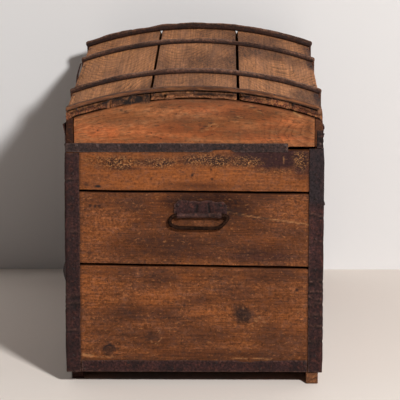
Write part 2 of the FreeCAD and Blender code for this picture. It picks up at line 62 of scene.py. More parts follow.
def addNode(tree, kind, values=None, links=None, out=0, **settings):
    # one node with its settings, socket values and links; gives back one of its outputs
    node = tree.nodes.new("ShaderNode" + kind)
    for key, value in settings.items():
        setattr(node, key, value)
    for key, value in (values or {}).items():
        node.inputs[key].default_value = value
    for key, socket in (links or {}).items():
        tree.links.new(socket, node.inputs[key])
    return None if out is None else node.outputs[out]


def smoothStep(low, high, value):
    # 0 at low, 1 at high, and between them three times the share squared less twice its cube
    share = np.clip((value - low) / (high - low), 0, 1)
    return share * share * (3 - 2 * share)


noiseTable = np.random.default_rng(1861).random(4096)
latticePrimes = np.array([73856093, 19349663, 83492791])
seedShift = 17.31     # cells between the fields of two seeds
octaveShift = 3.7     # seeds between two octaves


def smoothNoise(points, cell, seed):
    # value noise: random heights at the corners of a lattice, eased between them, 0 to 1
    place = points / cell + seedShift * seed
    corner = np.floor(place).astype(np.int64)
    ease = smoothStep(0, 1, place - corner)
    total = np.zeros(len(points))
    for bits in range(8):
        step = np.array([bits & 1, bits >> 1 & 1, bits >> 2 & 1])
        at = (corner + step) * latticePrimes
        height = noiseTable[(at[:, 0] ^ at[:, 1] ^ at[:, 2]) % len(noiseTable)]
        total += height * np.where(step, ease, 1 - ease).prod(1)
    return total


def roughNoise(points, cell, seed, octaves=3, stretch=(1, 1, 1)):
    # octaves of value noise, each half as large and half as strong, 0 to 1; the points are stretched first
    points = points * np.array(stretch)
    total, weight = np.zeros(len(points)), 0.0
    for i in range(octaves):
        share = 0.5 ** i
        total += share * smoothNoise(points, cell * share, seed + octaveShift * i)
        weight += share
    return total / weight


def stations(length, step, edge):
    # places along a side: even steps, and closer ones next to both ends
    count = max(1, round((length - 2 * edge) / step))
    inside = np.linspace(edge, length - edge, count + 1)
    close = edge * np.array([0.0, 0.3, 0.65])
    return np.concatenate([close, inside, length - close[::-1]])


def sheetQuads(ids):
    # quads of one grid of point numbers
    return np.stack([ids[:-1, :-1], ids[1:, :-1], ids[1:, 1:], ids[:-1, 1:]], -1).reshape(-1, 4)


def ringQuads(shape):
    # quads of a grid that closes on itself both ways
    ids = np.arange(shape[0] * shape[1]).reshape(shape)
    ids = np.concatenate([ids, ids[:1]])
    return sheetQuads(np.concatenate([ids, ids[:, :1]], 1))


def blockSkin(a, b, c):
    # the six faces of a block, each a grid in two of its three directions, welded along their edges
    grid = np.stack(np.meshgrid(a, b, c, indexing="ij"), -1)
    ids = np.arange(grid[..., 0].size).reshape(grid.shape[:3])
    quads = np.concatenate([
        sheetQuads(ids[:, :, 0])[:, ::-1], sheetQuads(ids[:, :, -1]),
        sheetQuads(ids[0])[:, ::-1], sheetQuads(ids[-1]),
        sheetQuads(ids[:, 0]), sheetQuads(ids[:, -1])[:, ::-1]])
    used, index = np.unique(quads, return_inverse=True)
    return grid.reshape(-1, 3)[used], index.reshape(-1, 4)


def wornBlock(size, look, seed):
    # a block (length, width, thickness) with edges rounded by pulling the outer layer onto
    # a rounded box, then bitten along the edges, hollowed, and its long edges made uneven
    size = np.array(size)
    steps = np.broadcast_to(look["step"], 2)
    flat, quads = blockSkin(stations(size[0], steps[0], look["edge"]),
                            stations(size[1], steps[1], look["edge"]),
                            stations(size[2], size[2], min(look["edge"], 0.3 * size[2])))
    radius = min(look["radius"], 0.45 * size.min())
    inner = np.clip(flat, radius, size - radius)
    away = flat - inner
    away /= np.linalg.norm(away, axis=1, keepdims=True)
    depth = np.sort(size / 2 - np.abs(flat - size / 2), 1)[:, 1]   # distance to the nearest edge
    bite = np.clip(roughNoise(flat, look["chipSize"], seed + 1) - look["chipFrom"], 0, 1)
    bite *= look["chip"] * np.exp(-depth / look["chipReach"])
    hollow = look["hollow"] * roughNoise(flat, look["hollowSize"], seed + 2)
    worn = inner + away * (radius - bite - hollow)[:, None]
    side = 2 * flat[:, 1] / size[1] - 1
    along = flat * np.array([1, 0, 0]) + np.array([0, 1, 0]) * np.sign(side)[:, None]
    worn[:, 1] -= look["fray"] * roughNoise(along, look["fraySize"], seed + 3) * side ** 3
    return {"size": size, "flat": flat, "worn": worn, "quads": quads, "depth": depth, "side": side}


def placedBlock(node, axes, look, seed):
    # a worn block as large as a node's box, its length, width and thickness laid on the named axes;
    # gives back the block and its points in place
    low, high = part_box(node)
    order = ["xyz".index(letter) for letter in axes]
    block = wornBlock([(high - low)[i] for i in order], look, seed)
    world = np.zeros_like(block["worn"])
    world[:, order] = block["worn"]
    return block, world + np.array(low)


def joinShells(shells):
    # closed shells as one mesh; one whose signed volume is negative is turned right side out first
    points, quads, count = [], [], 0
    for shellPoints, shellQuads in shells:
        a, b, c, d = shellPoints[shellQuads].transpose(1, 0, 2)
        volume = np.sum(a * (np.cross(b, c) + np.cross(c, d)))
        points.append(shellPoints)
        quads.append((shellQuads if volume > 0 else shellQuads[:, ::-1]) + count)
        count += len(shellPoints)
    return np.concatenate(points), np.concatenate(quads)


def makePiece(node, shells, body, material, paint, name=None):
    # a mesh of closed shells with its painted attributes, riding on a body in place of its node
    name = name or node.replace("_", ".")
    points, quads = joinShells(shells)
    mesh = bpy.data.meshes.new(name)
    mesh.from_pydata(points.tolist(), [], quads.tolist())
    for key, value in paint.items():
        kind, part = ("FLOAT_VECTOR", "vector") if value.ndim > 1 else ("FLOAT", "value")
        layer = mesh.attributes.new(key, kind, "POINT")
        layer.data.foreach_set(part, value.astype(np.float32).ravel())
    mesh.shade_smooth()
    mesh.materials.append(material)
    piece = bpy.data.objects.new(name, mesh)
    bpy.context.scene.collection.objects.link(piece)
    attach(piece, body)
    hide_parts(node)


def startMaterial(name):
    # a material whose node tree is still empty
    material = bpy.data.materials.new(name)
    material.use_nodes = True
    material.node_tree.nodes.clear()
    return material, material.node_tree


def layColours(tree, look, field, layers, colour=None):
    # each layer's share follows its field between two heights, times the field that thins it, and mixes its
    # colour over what is below, at first the look's dark one; smoke darkens, the others cover
    for source, low, high, first, last, thin, over in layers:
        heights = {1: low, 2: high, 3: look.get(first, first), 4: look.get(last, last)}
        share = addNode(tree, "MapRange", heights, {0: field[source]})
        if thin:
            share = addNode(tree, "Math", {}, {0: share, 1: field[thin]}, operation="MULTIPLY",
                            use_clamp=True)
        values, links = {7: linear(look[over])}, {0: share}
        if colour is None:
            values[6] = linear(look["dark"])
        else:
            links[6] = colour
        colour = addNode(tree, "Mix", values, links, out=2, data_type="RGBA",
                         blend_type="MULTIPLY" if over == "smoke" else "MIX")
    return colour


toneSpan = (0.34, 0.66)   # most of a noise lies between these heights
dullSpan = (0.3, 0.7)


def mottle(tree, field, tones, colour):
    # the colour times 1 less to 1 more each tone's depth, by its field
    for key, depth in tones.items():
        heights = dict(enumerate((*toneSpan, 1 - depth, 1 + depth), 1))
        tone = addNode(tree, "MapRange", heights, {0: field[key]})
        colour = addNode(tree, "Mix", {0: 1.0}, {6: colour, 7: tone}, out=2, data_type="RGBA",
                         blend_type="MULTIPLY")
    return colour


def finishSurface(tree, field, colour, skin, rough, values, links):
    # bump from fields added up by their rises, roughness between two bounds, then the shader
    height = field[skin["ground"]]
    for key, rise in skin["rises"].items():
        height = addNode(tree, "Math", {1: rise}, {0: field[key], 2: height}, operation="MULTIPLY_ADD")
    bump = addNode(tree, "Bump", {"Strength": skin["strength"], "Distance": skin["distance"]},
                   {"Height": height}, out="Normal")
    heights = dict(enumerate((*dullSpan, *rough), 1))
    dull = addNode(tree, "MapRange", heights, {0: field[skin["dull"]]})
    shader = addNode(tree, "BsdfPrincipled", values,
                     {"Base Color": colour, "Roughness": dull, "Normal": bump, **links})
    addNode(tree, "OutputMaterial", {}, {"Surface": shader}, out=None)


# Pine, sawn, nailed up, oiled by hands and smoked: a brown ground between grey and orange, faint rings,
# soft dark clouds, gritty specks both darker and brighter, worm holes, and almost no shine.
# Millimetres between rings, their lean along the board, sharpness and wander; then the strength of each mark.
pineLooks = {
    "agedPineOiled": {
        "dark": "#59341f", "light": "#764423", "ash": "#5b3e30", "late": "#482819", "glow": "#965426",
        "smoke": "#7c6a6a", "soot": "#291b16", "stain": "#2f1a19", "pale": "#b07c50", "bare": "#bc8552",
        "crust": "#2f1912", "tar": "#1b1312",
        "ring": 6.5, "lean": 0.022, "sharp": 2.6, "wander": 0.024, "along": 1.0, "rough": (0.66, 0.92),
        "rings": 0.32, "faint": 0.15, "ashen": 0.55, "rub": 0.36, "streak": 0.22, "dirt": 1.0, "pore": 0.45,
        "fleck": 0.30, "crumb": 0.66, "scored": 0.40,
        "tones": {"grit": 0.50, "hatch": 0.12, "fibre": 0.28, "torn": 0.30}},
    "agedPineDry": {
        "dark": "#946344", "light": "#bd7f50", "ash": "#8c6349", "late": "#513022", "glow": "#ca864f",
        "smoke": "#7a686a", "soot": "#43312a", "stain": "#3d2d27", "pale": "#b98054", "bare": "#a9633b",
        "crust": "#49261d", "tar": "#1d1614",
        "ring": 8.2, "lean": 0.19, "sharp": 1.8, "wander": 0.036, "along": 5.0, "rough": (0.78, 0.95),
        "rings": 0.95, "faint": 0.42, "ashen": 0.50, "rub": 0.25, "streak": 0.25, "dirt": 0.60, "pore": 0.50,
        "fleck": 0.15, "crumb": 0.80, "scored": 0.25,
        "tones": {"grit": 0.18, "fibre": 0.36, "torn": 0.26}},
    "agedPineBright": {
        "dark": "#77492c", "light": "#8f5934", "ash": "#76563b", "late": "#60371f", "glow": "#a65830",
        "smoke": "#988468", "soot": "#3a251b", "stain": "#3d2622", "pale": "#ae8253", "bare": "#b58862",
        "crust": "#321e18", "tar": "#1d1616",
        "ring": 8.5, "lean": 0.022, "sharp": 2.2, "wander": 0.030, "along": 1.8, "rough": (0.62, 0.88),
        "rings": 0.38, "faint": 0.15, "ashen": 0.60, "rub": 0.18, "streak": 0.08, "dirt": 0.55, "pore": 0.50,
        "fleck": 0.18, "crumb": 0.80, "scored": 0.20,
        "tones": {"grit": 0.36, "hatch": 0.08, "fibre": 0.16, "torn": 0.14}},
}
# the long walls and what is not seen keep plainer rings and longer fibres, and fewer scratches
pineLooks["agedPineSmoked"] = dict(
    pineLooks["agedPineOiled"], ring=7.4, lean=0.11, sharp=1.5, wander=0.034, along=4.5, rings=0.62,
    faint=0.30, ashen=0.50, rub=0.22, dirt=0.60, fleck=0.10, scored=0.0,
    tones={"grit": 0.20, "fibre": 0.30, "torn": 0.26})
# the upper plank of the seen end is rubbed cleaner
pineLooks["agedPineRubbed"] = dict(
    pineLooks["agedPineOiled"], pore=0.40, fleck=0.18, scored=0.20,
    tones={"grit": 0.32, "hatch": 0.08, "fibre": 0.18, "torn": 0.22})
# what is painted on a board's points
pinePaints = ("smoke", "glow", "pale", "stain", "tar", "knot", "swirl", "scrape")
# noise: millimetres along the grain and across it, detail, roughness
pineFields = {
    "patch": (75, 32, 5.0, 0.64),     # slow changes of tone
    "torn": (14, 10, 6.0, 0.74),      # ragged mottling
    "fibre": (60, 3.4, 3.0, 0.65),    # fibres
    "streak": (20, 4.2, 4.0, 0.72),   # dirt rubbed along the grain
    "rub": (6.5, 4.6, 3.0, 0.70),     # fibres rubbed bright
    "pore": (6.5, 3.0, 2.0, 0.60),    # short dark pores, drawn coarser than real ones so that they show
    "grit": (5.4, 4.4, 3.0, 0.72),    # specks, coarser too
    "hatch": (3.6, 18, 2.0, 0.60),    # scratches across the grain
    "chip": (3.2, 2.5, 3.0, 0.72),    # crumbs of scraped wood
}
# layers: field, two of its heights, shares there (numbers or names in the look), thinning field, colour
pineLayers = [
    ("patch", 0.36, 0.64, 0.0, 1.0, None, "light"),
    ("torn", 0.48, 0.62, 0.0, "ashen", None, "ash"),
    ("torn", 0.62, 0.36, 0.30, 1.0, "glow", "glow"),
    ("patch", 0.40, 0.62, "faint", "rings", "late", "late"),
    ("late", 0.2, 1.0, 0.0, 0.62, "swirl", "late"),
    ("rub", 0.52, 0.66, 0.0, "rub", None, "glow"),
    ("torn", 0.30, 0.58, 0.35, 1.0, "smoke", "smoke"),
    ("grit", 0.42, 0.60, 0.10, 1.0, "smoke", "smoke"),
    ("torn", 0.25, 0.50, 0.55, 1.0, "stain", "stain"),
    ("knot", 0.12, 0.60, 0.0, 0.60, None, "soot"),
    ("late", 0.3, 0.9, 0.0, 0.9, "knot", "soot"),
    ("knot", 0.66, 0.90, 0.0, 0.60, None, "tar"),
    ("torn", 0.44, 0.52, 0.0, 0.95, "scrape", "crust"),
    ("chip", 0.50, 0.64, 0.0, "crumb", "scrape", "bare"),
]
# laid on after the gritty tones
pineMarks = [
    ("streak", 0.54, 0.70, 0.0, "streak", None, "soot"),
    ("grit", 0.57, 0.68, 0.0, "dirt", "smoke", "soot"),
    ("hatch", 0.53, 0.64, 0.0, "scored", "smoke", "soot"),
    ("rub", 0.60, 0.72, 0.0, "fleck", None, "pale"),
    ("pore", 0.60, 0.68, 0.0, "pore", None, "tar"),
    ("chip", 0.45, 0.36, 0.0, 0.65, "scrape", "tar"),
    ("rub", 0.36, 0.54, 0.15, 1.0, "pale", "pale"),
    ("hole", 0.0, 1.0, 0.0, 1.0, None, "tar"),
    ("torn", 0.30, 0.48, 0.25, 1.0, "tar", "tar"),
]
# slow: bends to a metre; worm holes are about 2 mm wide, in some cells of a net
pineRings = {"slow": (6.0, 14.0, 14.0), "knotPush": 0.026, "swirlPush": 0.070}
wormHoles = {"net": 0.024, "rim": 0.060, "core": 0.040, "lots": (0.40, 0.44)}
pineSkin = {"ground": "torn", "rises": {"fibre": 0.6, "grit": 0.5, "pore": -0.5, "hole": -1.6},
            "strength": 0.7, "distance": 0.0014, "dull": "patch", "ior": 1.45, "shine": 0.18}


def agedPine(name):
    # noise stretched along the grain, rings about the pith and worm holes, laid over each other
    look = pineLooks[name]
    material, tree = startMaterial(name)
    grain = addNode(tree, "Attribute", out="Vector", attribute_name="grain")
    field = {key: addNode(tree, "Attribute", out="Fac", attribute_name=key) for key in pinePaints}
    for key, (along, across, detail, rough) in pineFields.items():
        cells = (1000 / (along * look["along"]), 1000 / across, 1000 / across)
        place = addNode(tree, "VectorMath", {1: cells}, {0: grain}, operation="MULTIPLY")
        field[key] = addNode(tree, "TexNoise", {"Scale": 1.0, "Detail": detail, "Roughness": rough},
                             {"Vector": place}, out="Fac")
    # rings about the pith: the radius, wandering and leaning with the length, pushed round knots and swirls
    slow = addNode(tree, "VectorMath", {1: pineRings["slow"]}, {0: grain}, operation="MULTIPLY")
    push = addNode(tree, "TexNoise", {"Scale": 1.0, "Detail": 3.0}, {"Vector": slow}, out="Color")
    bent = addNode(tree, "VectorMath", {1: (0.0, look["wander"], look["wander"])},
                   {0: push, 2: grain}, operation="MULTIPLY_ADD")
    flat = addNode(tree, "VectorMath", {1: (0.0, 1.0, 1.0)}, {0: bent}, operation="MULTIPLY")
    radius = addNode(tree, "VectorMath", {}, {0: flat}, out="Value", operation="LENGTH")
    run = addNode(tree, "SeparateXYZ", {}, {0: grain}, out="X")
    for source, far in ((run, look["lean"]), (field["knot"], pineRings["knotPush"]),
                        (field["swirl"], pineRings["swirlPush"])):
        radius = addNode(tree, "Math", {1: far}, {0: source, 2: radius}, operation="MULTIPLY_ADD")
    count = addNode(tree, "Math", {1: 1000 / look["ring"]}, {0: radius}, operation="MULTIPLY")
    year = addNode(tree, "Math", {}, {0: count}, operation="FRACT")
    field["late"] = addNode(tree, "Math", {1: look["sharp"]}, {0: year}, operation="POWER")
    # worm holes: near the middle of those cells of a net whose lot is drawn
    net = {"Scale": 1 / wormHoles["net"]}
    near = addNode(tree, "TexVoronoi", net, {"Vector": grain}, out="Distance")
    cell = addNode(tree, "TexVoronoi", net, {"Vector": grain}, out="Color")
    lot = addNode(tree, "SeparateColor", {}, {0: cell})
    inside = addNode(tree, "MapRange", {1: wormHoles["rim"], 2: wormHoles["core"]}, {0: near})
    chosen = addNode(tree, "MapRange", dict(enumerate(wormHoles["lots"], 1)), {0: lot})
    field["hole"] = addNode(tree, "Math", {}, {0: inside, 1: chosen}, operation="MULTIPLY")

    colour = layColours(tree, look, field, pineLayers)
    colour = mottle(tree, field, look["tones"], colour)
    colour = layColours(tree, look, field, pineMarks, colour)
    finishSurface(tree, field, colour, pineSkin, look["rough"],
                  {"IOR": pineSkin["ior"], "Specular IOR Level": pineSkin["shine"]}, {})
    return material


# Wrought iron, hammered flat and left to rust: a matte purple-brown skin, darker in its pits,
# with redder bloom, and a little bare metal on the rubbed edges.
ironShared = {"blue": "#211b1d", "soot": "#120b0a", "shine": 0.15}
ironLooks = {
    "wroughtIronRusted": {"dark": "#1d0f0f", "mid": "#371f1d", "bloom": "#4c2b23", "worn": "#5e473e"},
    "wroughtIronSlate": {"dark": "#1e1615", "mid": "#342523", "bloom": "#402c26", "worn": "#5c4b45"},
    # the bands' worn colour is also the painted highlight along their crowns
    "wroughtIronBrown": {"dark": "#27130c", "mid": "#4d2c1e", "bloom": "#663f2b", "worn": "#9c7560"},
    "wroughtIronHandled": {"dark": "#140a06", "mid": "#25160f", "bloom": "#311d13", "worn": "#3a271d",
                           "shine": 0.03},
    # the nails are lighter than the irons they hold, a painted glint on their heads
    "nailIronWithPaintedGlint": {"dark": "#2c2221", "mid": "#4c3d3a", "bloom": "#58463f", "worn": "#7a6a64"},
}
# noise: millimetres, detail, roughness; pits are drawn coarser than real ones so that they show
ironFields = {"broad": (50, 4.0, 0.60), "crust": (9, 4.0, 0.66), "grit": (4.6, 3.0, 0.68),
              "pit": (3.0, 2.0, 0.55)}
# painted on an iron's points: rubbed edges, which on the bands and corner irons also carry a painted
# highlight; grime with painted shade in creases, cuts and along edges; a bluer skin
ironPaints = ("edge", "grimeAndShade", "blue")
ironLayers = [
    ("broad", 0.34, 0.66, 0.0, 1.0, None, "mid"),
    ("crust", 0.50, 0.68, 0.0, 0.75, None, "bloom"),
    ("pit", 0.50, 0.38, 0.0, 0.60, None, "dark"),
    ("crust", 0.35, 0.65, 0.15, 0.8, "edge", "worn"),
    ("crust", 0.35, 0.60, 0.45, 1.0, "blue", "blue"),
    # grime and painted shade, laid on where a piece marks it
    ("crust", 0.3, 0.5, 0.7, 1.0, "grimeAndShade", "soot"),
]
ironSkin = {"ground": "grit", "rises": {"crust": 1.4, "pit": 0.6}, "strength": 0.6, "distance": 0.0012,
            "dull": "crust", "rough": (0.55, 0.85), "tones": {"grit": 0.60}, "bared": 0.35}


def rustedIron(name):
    # even noise from clouds to pits, laid over each other, with metal bared where an edge is rubbed
    look = {**ironShared, **ironLooks[name]}
    material, tree = startMaterial(name)
    place = addNode(tree, "TexCoord", out="Object")
    field = {key: addNode(tree, "Attribute", out="Fac", attribute_name=key) for key in ironPaints}
    for key, (size, detail, rough) in ironFields.items():
        field[key] = addNode(tree, "TexNoise", {"Scale": 1000 / size, "Detail": detail, "Roughness": rough},
                             {"Vector": place}, out="Fac")
    colour = layColours(tree, look, field, ironLayers)
    colour = mottle(tree, field, ironSkin["tones"], colour)
    bare = addNode(tree, "Math", {1: ironSkin["bared"]}, {0: field["edge"]}, operation="MULTIPLY")
    finishSurface(tree, field, colour, ironSkin, ironSkin["rough"], {"Specular IOR Level": look["shine"]},
                  {"Metallic": bare})
    return material


pine = {name: agedPine(name) for name in pineLooks}
iron = {name: rustedIron(name) for name in ironLooks}
print("materials:", len(pine) + len(iron))

# Marks on the seen end, in millimetres across (y) and up (z): middle, half sizes, strength
endMarks = {
    "smoke": [
        (24, 372, 110, 38, 1.1), (-70, 340, 60, 26, 0.55), (-89, 372, 70, 26, 0.45),
        (-30, 288, 120, 42, 0.62), (105, 330, 70, 38, 0.5), (140, 276, 95, 30, 0.55),
        (-168, 382, 60, 22, 0.35), (-125, 285, 60, 34, 0.45), (60, 388, 150, 12, 0.6),
        (195, 300, 50, 50, 0.3), (-40, 330, 70, 30, 0.35), (-20, 458, 215, 12, 0.22),
        (20, 410, 90, 12, 0.5), (-150, 452, 60, 18, 0.25), (-79, 220, 52, 28, 0.52),
        (-130, 145, 72, 32, 0.46), (-66, 145, 48, 32, 0.4), (155, 226, 85, 28, 0.5),
        (30, 228, 90, 18, 0.36), (12, 172, 62, 14, 0.4), (93, 186, 60, 24, 0.32), (42, 102, 85, 28, 0.4),
        (-89, 92, 62, 30, 0.46), (60, 60, 210, 15, 0.5), (170, 100, 70, 40, 0.36),
        (-150, 232, 70, 14, 0.35), (150, 170, 60, 26, 0.3), (-10, 120, 50, 20, 0.25),
        (-180, 110, 40, 26, 0.25)],
    "glow": [
        (0, 435, 240, 30, 0.45), (-140, 415, 110, 16, 0.4), (-69, 179, 60, 24, 0.85),
        (20, 150, 60, 15, 0.7), (-195, 195, 55, 50, 0.5), (194, 132, 60, 55, 0.3),
        (-190, 320, 55, 55, 0.35), (195, 352, 60, 30, 0.35), (125, 300, 55, 14, 0.4),
        (-75, 372, 26, 20, 0.5), (-60, 345, 30, 20, 0.35), (70, 250, 20, 10, 0.3), (100, 222, 26, 9, 0.4),
        (-10, 222, 22, 9, 0.45), (-60, 68, 120, 14, 0.35)],
    "scrape": [
        (-150, 458, 62, 15, 0.95), (-70, 457, 42, 13, 0.95), (8, 463, 46, 17, 1.0), (52, 460, 42, 15, 0.95),
        (215, 460, 22, 24, 0.9), (-190, 464, 40, 10, 0.6), (170, 440, 60, 9, 0.4), (98, 459, 40, 13, 0.9)],
    "stain": [
        (122, 474, 46, 15, 1.2), (150, 474, 90, 18, 1.2), (185, 464, 72, 30, 1.35), (215, 456, 45, 38, 1.0),
        (44, 461, 40, 12, 1.0), (-8, 461, 26, 11, 0.85), (-69, 459, 26, 10, 0.65), (-97, 456, 18, 7, 0.6),
        (-147, 452, 24, 8, 0.55), (88, 457, 28, 8, 0.7), (150, 263, 85, 13, 0.5), (20, 268, 60, 10, 0.25)],
    "knot": [
        (99, 143, 24, 24, 1.0), (-174, 70, 17, 15, 0.8), (-89, 99, 20, 17, 0.52), (-120, 330, 10, 6, 0.4)],
}
# Scratches and chips that show bare wood: from, to, half width, strength
endScratches = [
    (96, 351, 160, 341, 1.1, 0.45), (160, 341, 231, 331, 1.2, 0.62), (40, 362, 95, 351, 1.0, 0.25),
    (123, 133, 127, 131, 1.6, 0.7), (131, 140, 135, 137, 1.2, 0.6), (140, 130, 143, 128, 1.2, 0.55),
    (118, 122, 120, 120, 1.2, 0.5), (136, 122, 138, 119, 1.0, 0.5), (-73, 112, -68, 104, 0.9, 0.45),
    (-66, 96, -72, 88, 0.9, 0.5), (-80, 84, -74, 82, 0.9, 0.4), (-226, 60, -208, 58, 2.8, 0.6),
    (-200, 56, -160, 55, 1.2, 0.3), (78, 54, 108, 52, 1.2, 0.45), (120, 53, 156, 51, 1.2, 0.5),
    (180, 470, 181, 454, 0.9, 0.55), (201, 466, 206, 455, 0.9, 0.45), (210, 466, 206, 453, 0.9, 0.4),
]
# Dents and holes stained black: middle, half sizes, strength
endHoles = [
    (-194, 409, 9, 3.6, 1.2), (-4, 432, 3.4, 3.8, 1.2), (36, 424, 3.4, 3.4, 1.1), (34, 443, 2.8, 3.8, 1.0),
    (-87, 424, 2.8, 2.8, 0.8), (-210, 369, 2.8, 4.2, 1.0), (-200, 368, 2.8, 4.0, 1.0),
    (-191, 369, 2.8, 4.0, 0.9), (208, 196, 4.6, 4.2, 1.0), (-218, 412, 7, 5, 0.6), (92, 352, 6, 3, 0.9),
    (120, 343, 5, 2.6, 0.8), (204, 377, 3.4, 4.6, 0.7), (-212, 271, 6, 5, 0.7), (-153, 313, 2.8, 2.8, 0.9),
    (130, 248, 2.8, 7, 0.6), (-100, 252, 2.6, 6, 0.6), (-20, 163, 2.4, 9, 0.45),
]
# Cracks, dark lines: from, to, half width, strength
endCracks = [
    (-186, 69, -182, 77, 1.5, 0.8), (-182, 77, -173, 81, 1.8, 1.0), (-173, 81, -164, 78, 1.8, 1.0),
    (-164, 78, -160, 70, 1.5, 0.8), (104, 352, 150, 344, 0.9, 0.55), (138, 345, 148, 343, 1.6, 0.9),
    (-170, 446, -112, 444, 0.9, 0.5), (-98, 445, -62, 443, 0.8, 0.4), (-30, 443, 30, 443, 0.8, 0.35),
    (40, 443, 92, 442, 0.9, 0.5), (96, 441, 150, 438, 0.9, 0.45),
]


def paintEllipses(across, up, marks, tear):
    # the strongest of soft ellipses: 1 within a quarter of its reach, 0 beyond one and a quarter, rims torn
    total = np.zeros(len(across))
    for middleAcross, middleUp, halfAcross, halfUp, strength in marks:
        reach = np.hypot((across - middleAcross) / halfAcross, (up - middleUp) / halfUp)
        total = np.maximum(total, strength * smoothStep(1.25, 0.25, reach + tear))
    return total


def paintScratches(across, up, lines):
    # closeness to line pieces: 1 within 0.3 of the half width, 0 beyond 1.6 of it
    total = np.zeros(len(across))
    for a0, u0, a1, u1, half, strength in lines:
        run = ((across - a0) * (a1 - a0) + (up - u0) * (u1 - u0)) / ((a1 - a0) ** 2 + (u1 - u0) ** 2)
        run = np.clip(run, 0, 1)
        off = np.hypot(across - a0 - run * (a1 - a0), up - u0 - run * (u1 - u0))
        total = np.maximum(total, strength * smoothStep(1.6 * half, 0.3 * half, off))
    return total


def tornRims(world, size, seed, strength):
    # noise about 0 in millimetres, which frays the rims of painted ellipses
    return strength * (roughNoise(1000 * world, size, seed, 4) - 0.5)


boardPaint = {"seenX": 0.4925, "insideXY": (0.486, 0.244), "insideZ": 0.036, "cloudSize": 0.13,
              "lowShade": (0.14, 0.03), "ironShadeAcross": (225, 231), "ironShadeUp": (56, 49)}


def paintBoard(world, flat, seed, tone):
    # marks on the seen end, clouds of smoke elsewhere, paler inside, and grain about a pith that is drawn
    x, y, z = world.T
    across, up = 1000 * y, 1000 * z
    tear = tornRims(world, 46.0, seed + 5, 0.9)
    seenEnd = (x > boardPaint["seenX"]).astype(float)
    inside = (np.abs(world[:, :2]) < boardPaint["insideXY"]).all(1) & (z > boardPaint["insideZ"])
    clouds = roughNoise(world, boardPaint["cloudSize"], seed + 6, 4)
    # painted shade low down: away from the seen end the boards are darker towards the floor
    smoky = np.clip(1.7 * (clouds - 0.40) + 0.45 * smoothStep(*boardPaint["lowShade"], z), 0, 0.85)
    paint = {key: seenEnd * paintEllipses(across, up, marks, tear) for key, marks in endMarks.items()}
    paint["smoke"] = paint["smoke"] + (1 - seenEnd) * (1 - 0.75 * inside) * smoky
    warm = (1 - seenEnd) * np.clip(1.4 * (0.5 - clouds), 0, 0.5)
    paint["glow"] = np.clip(paint["glow"] + tone + warm, 0, 1)
    # a thin veil all over the seen end, and painted shade on the wood next to its irons, a painted shadow
    # line along their edges
    ironShade = smoothStep(*boardPaint["ironShadeAcross"], np.abs(across))
    ironShade = 0.45 * seenEnd * np.maximum(ironShade, smoothStep(*boardPaint["ironShadeUp"], up))
    paint["smoke"] = np.maximum(paint["smoke"] - seenEnd * (0.18 * paint["smoke"] - 0.07), ironShade)
    paint["swirl"] = np.zeros(len(world))
    paint["pale"] = seenEnd * paintScratches(across, up, endScratches) + 0.20 * inside
    holes = paintEllipses(across, up, endHoles, 0.3 * tear)
    paint["tar"] = seenEnd * np.maximum(holes, paintScratches(across, up, endCracks))
    rng = np.random.default_rng(seed)
    pith = np.array([rng.uniform(0, 3), rng.uniform(-0.09, 0.04), rng.uniform(0.02, 0.07)])
    paint["grain"] = flat + pith
    return paint


# How a board is worn: mesh steps, rounded edges, chips, hollows and frayed long edges
boardLook = {
    "step": 0.004, "edge": 0.0022, "radius": 0.0016, "chip": 0.0035, "chipFrom": 0.56, "chipSize": 0.022,
    "chipReach": 0.0035, "hollow": 0.0008, "hollowSize": 0.050, "fray": 0.0012, "fraySize": 0.060,
}
seenLook = dict(boardLook, step=0.0024)
longLook = dict(boardLook, step=0.005)
# case walls: axes for (length, width, thickness), look, finish
caseWalls = {
    "right_end": ("yzx", seenLook, "agedPineOiled"), "left_end": ("yzx", boardLook, "agedPineSmoked"),
    "front": ("xzy", longLook, "agedPineSmoked"), "back": ("xzy", longLook, "agedPineSmoked"),
}
plank = {
    "tone": {"lower": 0.10, "middle": 0.02, "upper": 0.38},
    # at the seen end each edge has shrunk back, and the seams run a little down to the back
    "shrunk": 0.00035,
    "tilt": {"lower": (0.0, -0.0036), "middle": (-0.0036, -0.0018), "upper": (-0.0018, 0.0)},
    "bareZ": (0.477, 0.487), "bareDeep": 0.0030, "bareRough": 0.0012, "bareSize": 0.02,
}
for wallName, (axes, look, wallFinish) in caseWalls.items():
    for number, (level, tone) in enumerate(plank["tone"].items()):
        node = f"{wallName}_plank_{level}"
        seed = 11 * len(wallName) + 5 * number + 3
        block, world = placedBlock(node, axes, look, seed)
        if wallName == "right_end":
            share = block["flat"][:, 1] / block["size"][1]
            lean = 2 * block["flat"][:, 0] / block["size"][0] - 1
            foot, head = plank["tilt"][level]
            world[:, 2] += lean * (foot * (1 - share) + head * share) + plank["shrunk"] * (1 - 2 * share)
        finish = wallFinish
        if node == "right_end_plank_upper":
            # where the lip strap is gone the upper edge is worn back from the seam
            bare = smoothStep(*strapGone, world[:, 1]) * smoothStep(*plank["bareZ"], world[:, 2])
            ragged = roughNoise(world, plank["bareSize"], seed)
            world[:, 2] -= bare * (plank["bareDeep"] + plank["bareRough"] * ragged)
            finish = "agedPineRubbed"
        paint = paintBoard(world, block["flat"], seed, tone)
        makePiece(node, [(world, block["quads"])], "case", pine[finish], paint)
print("case planks made")

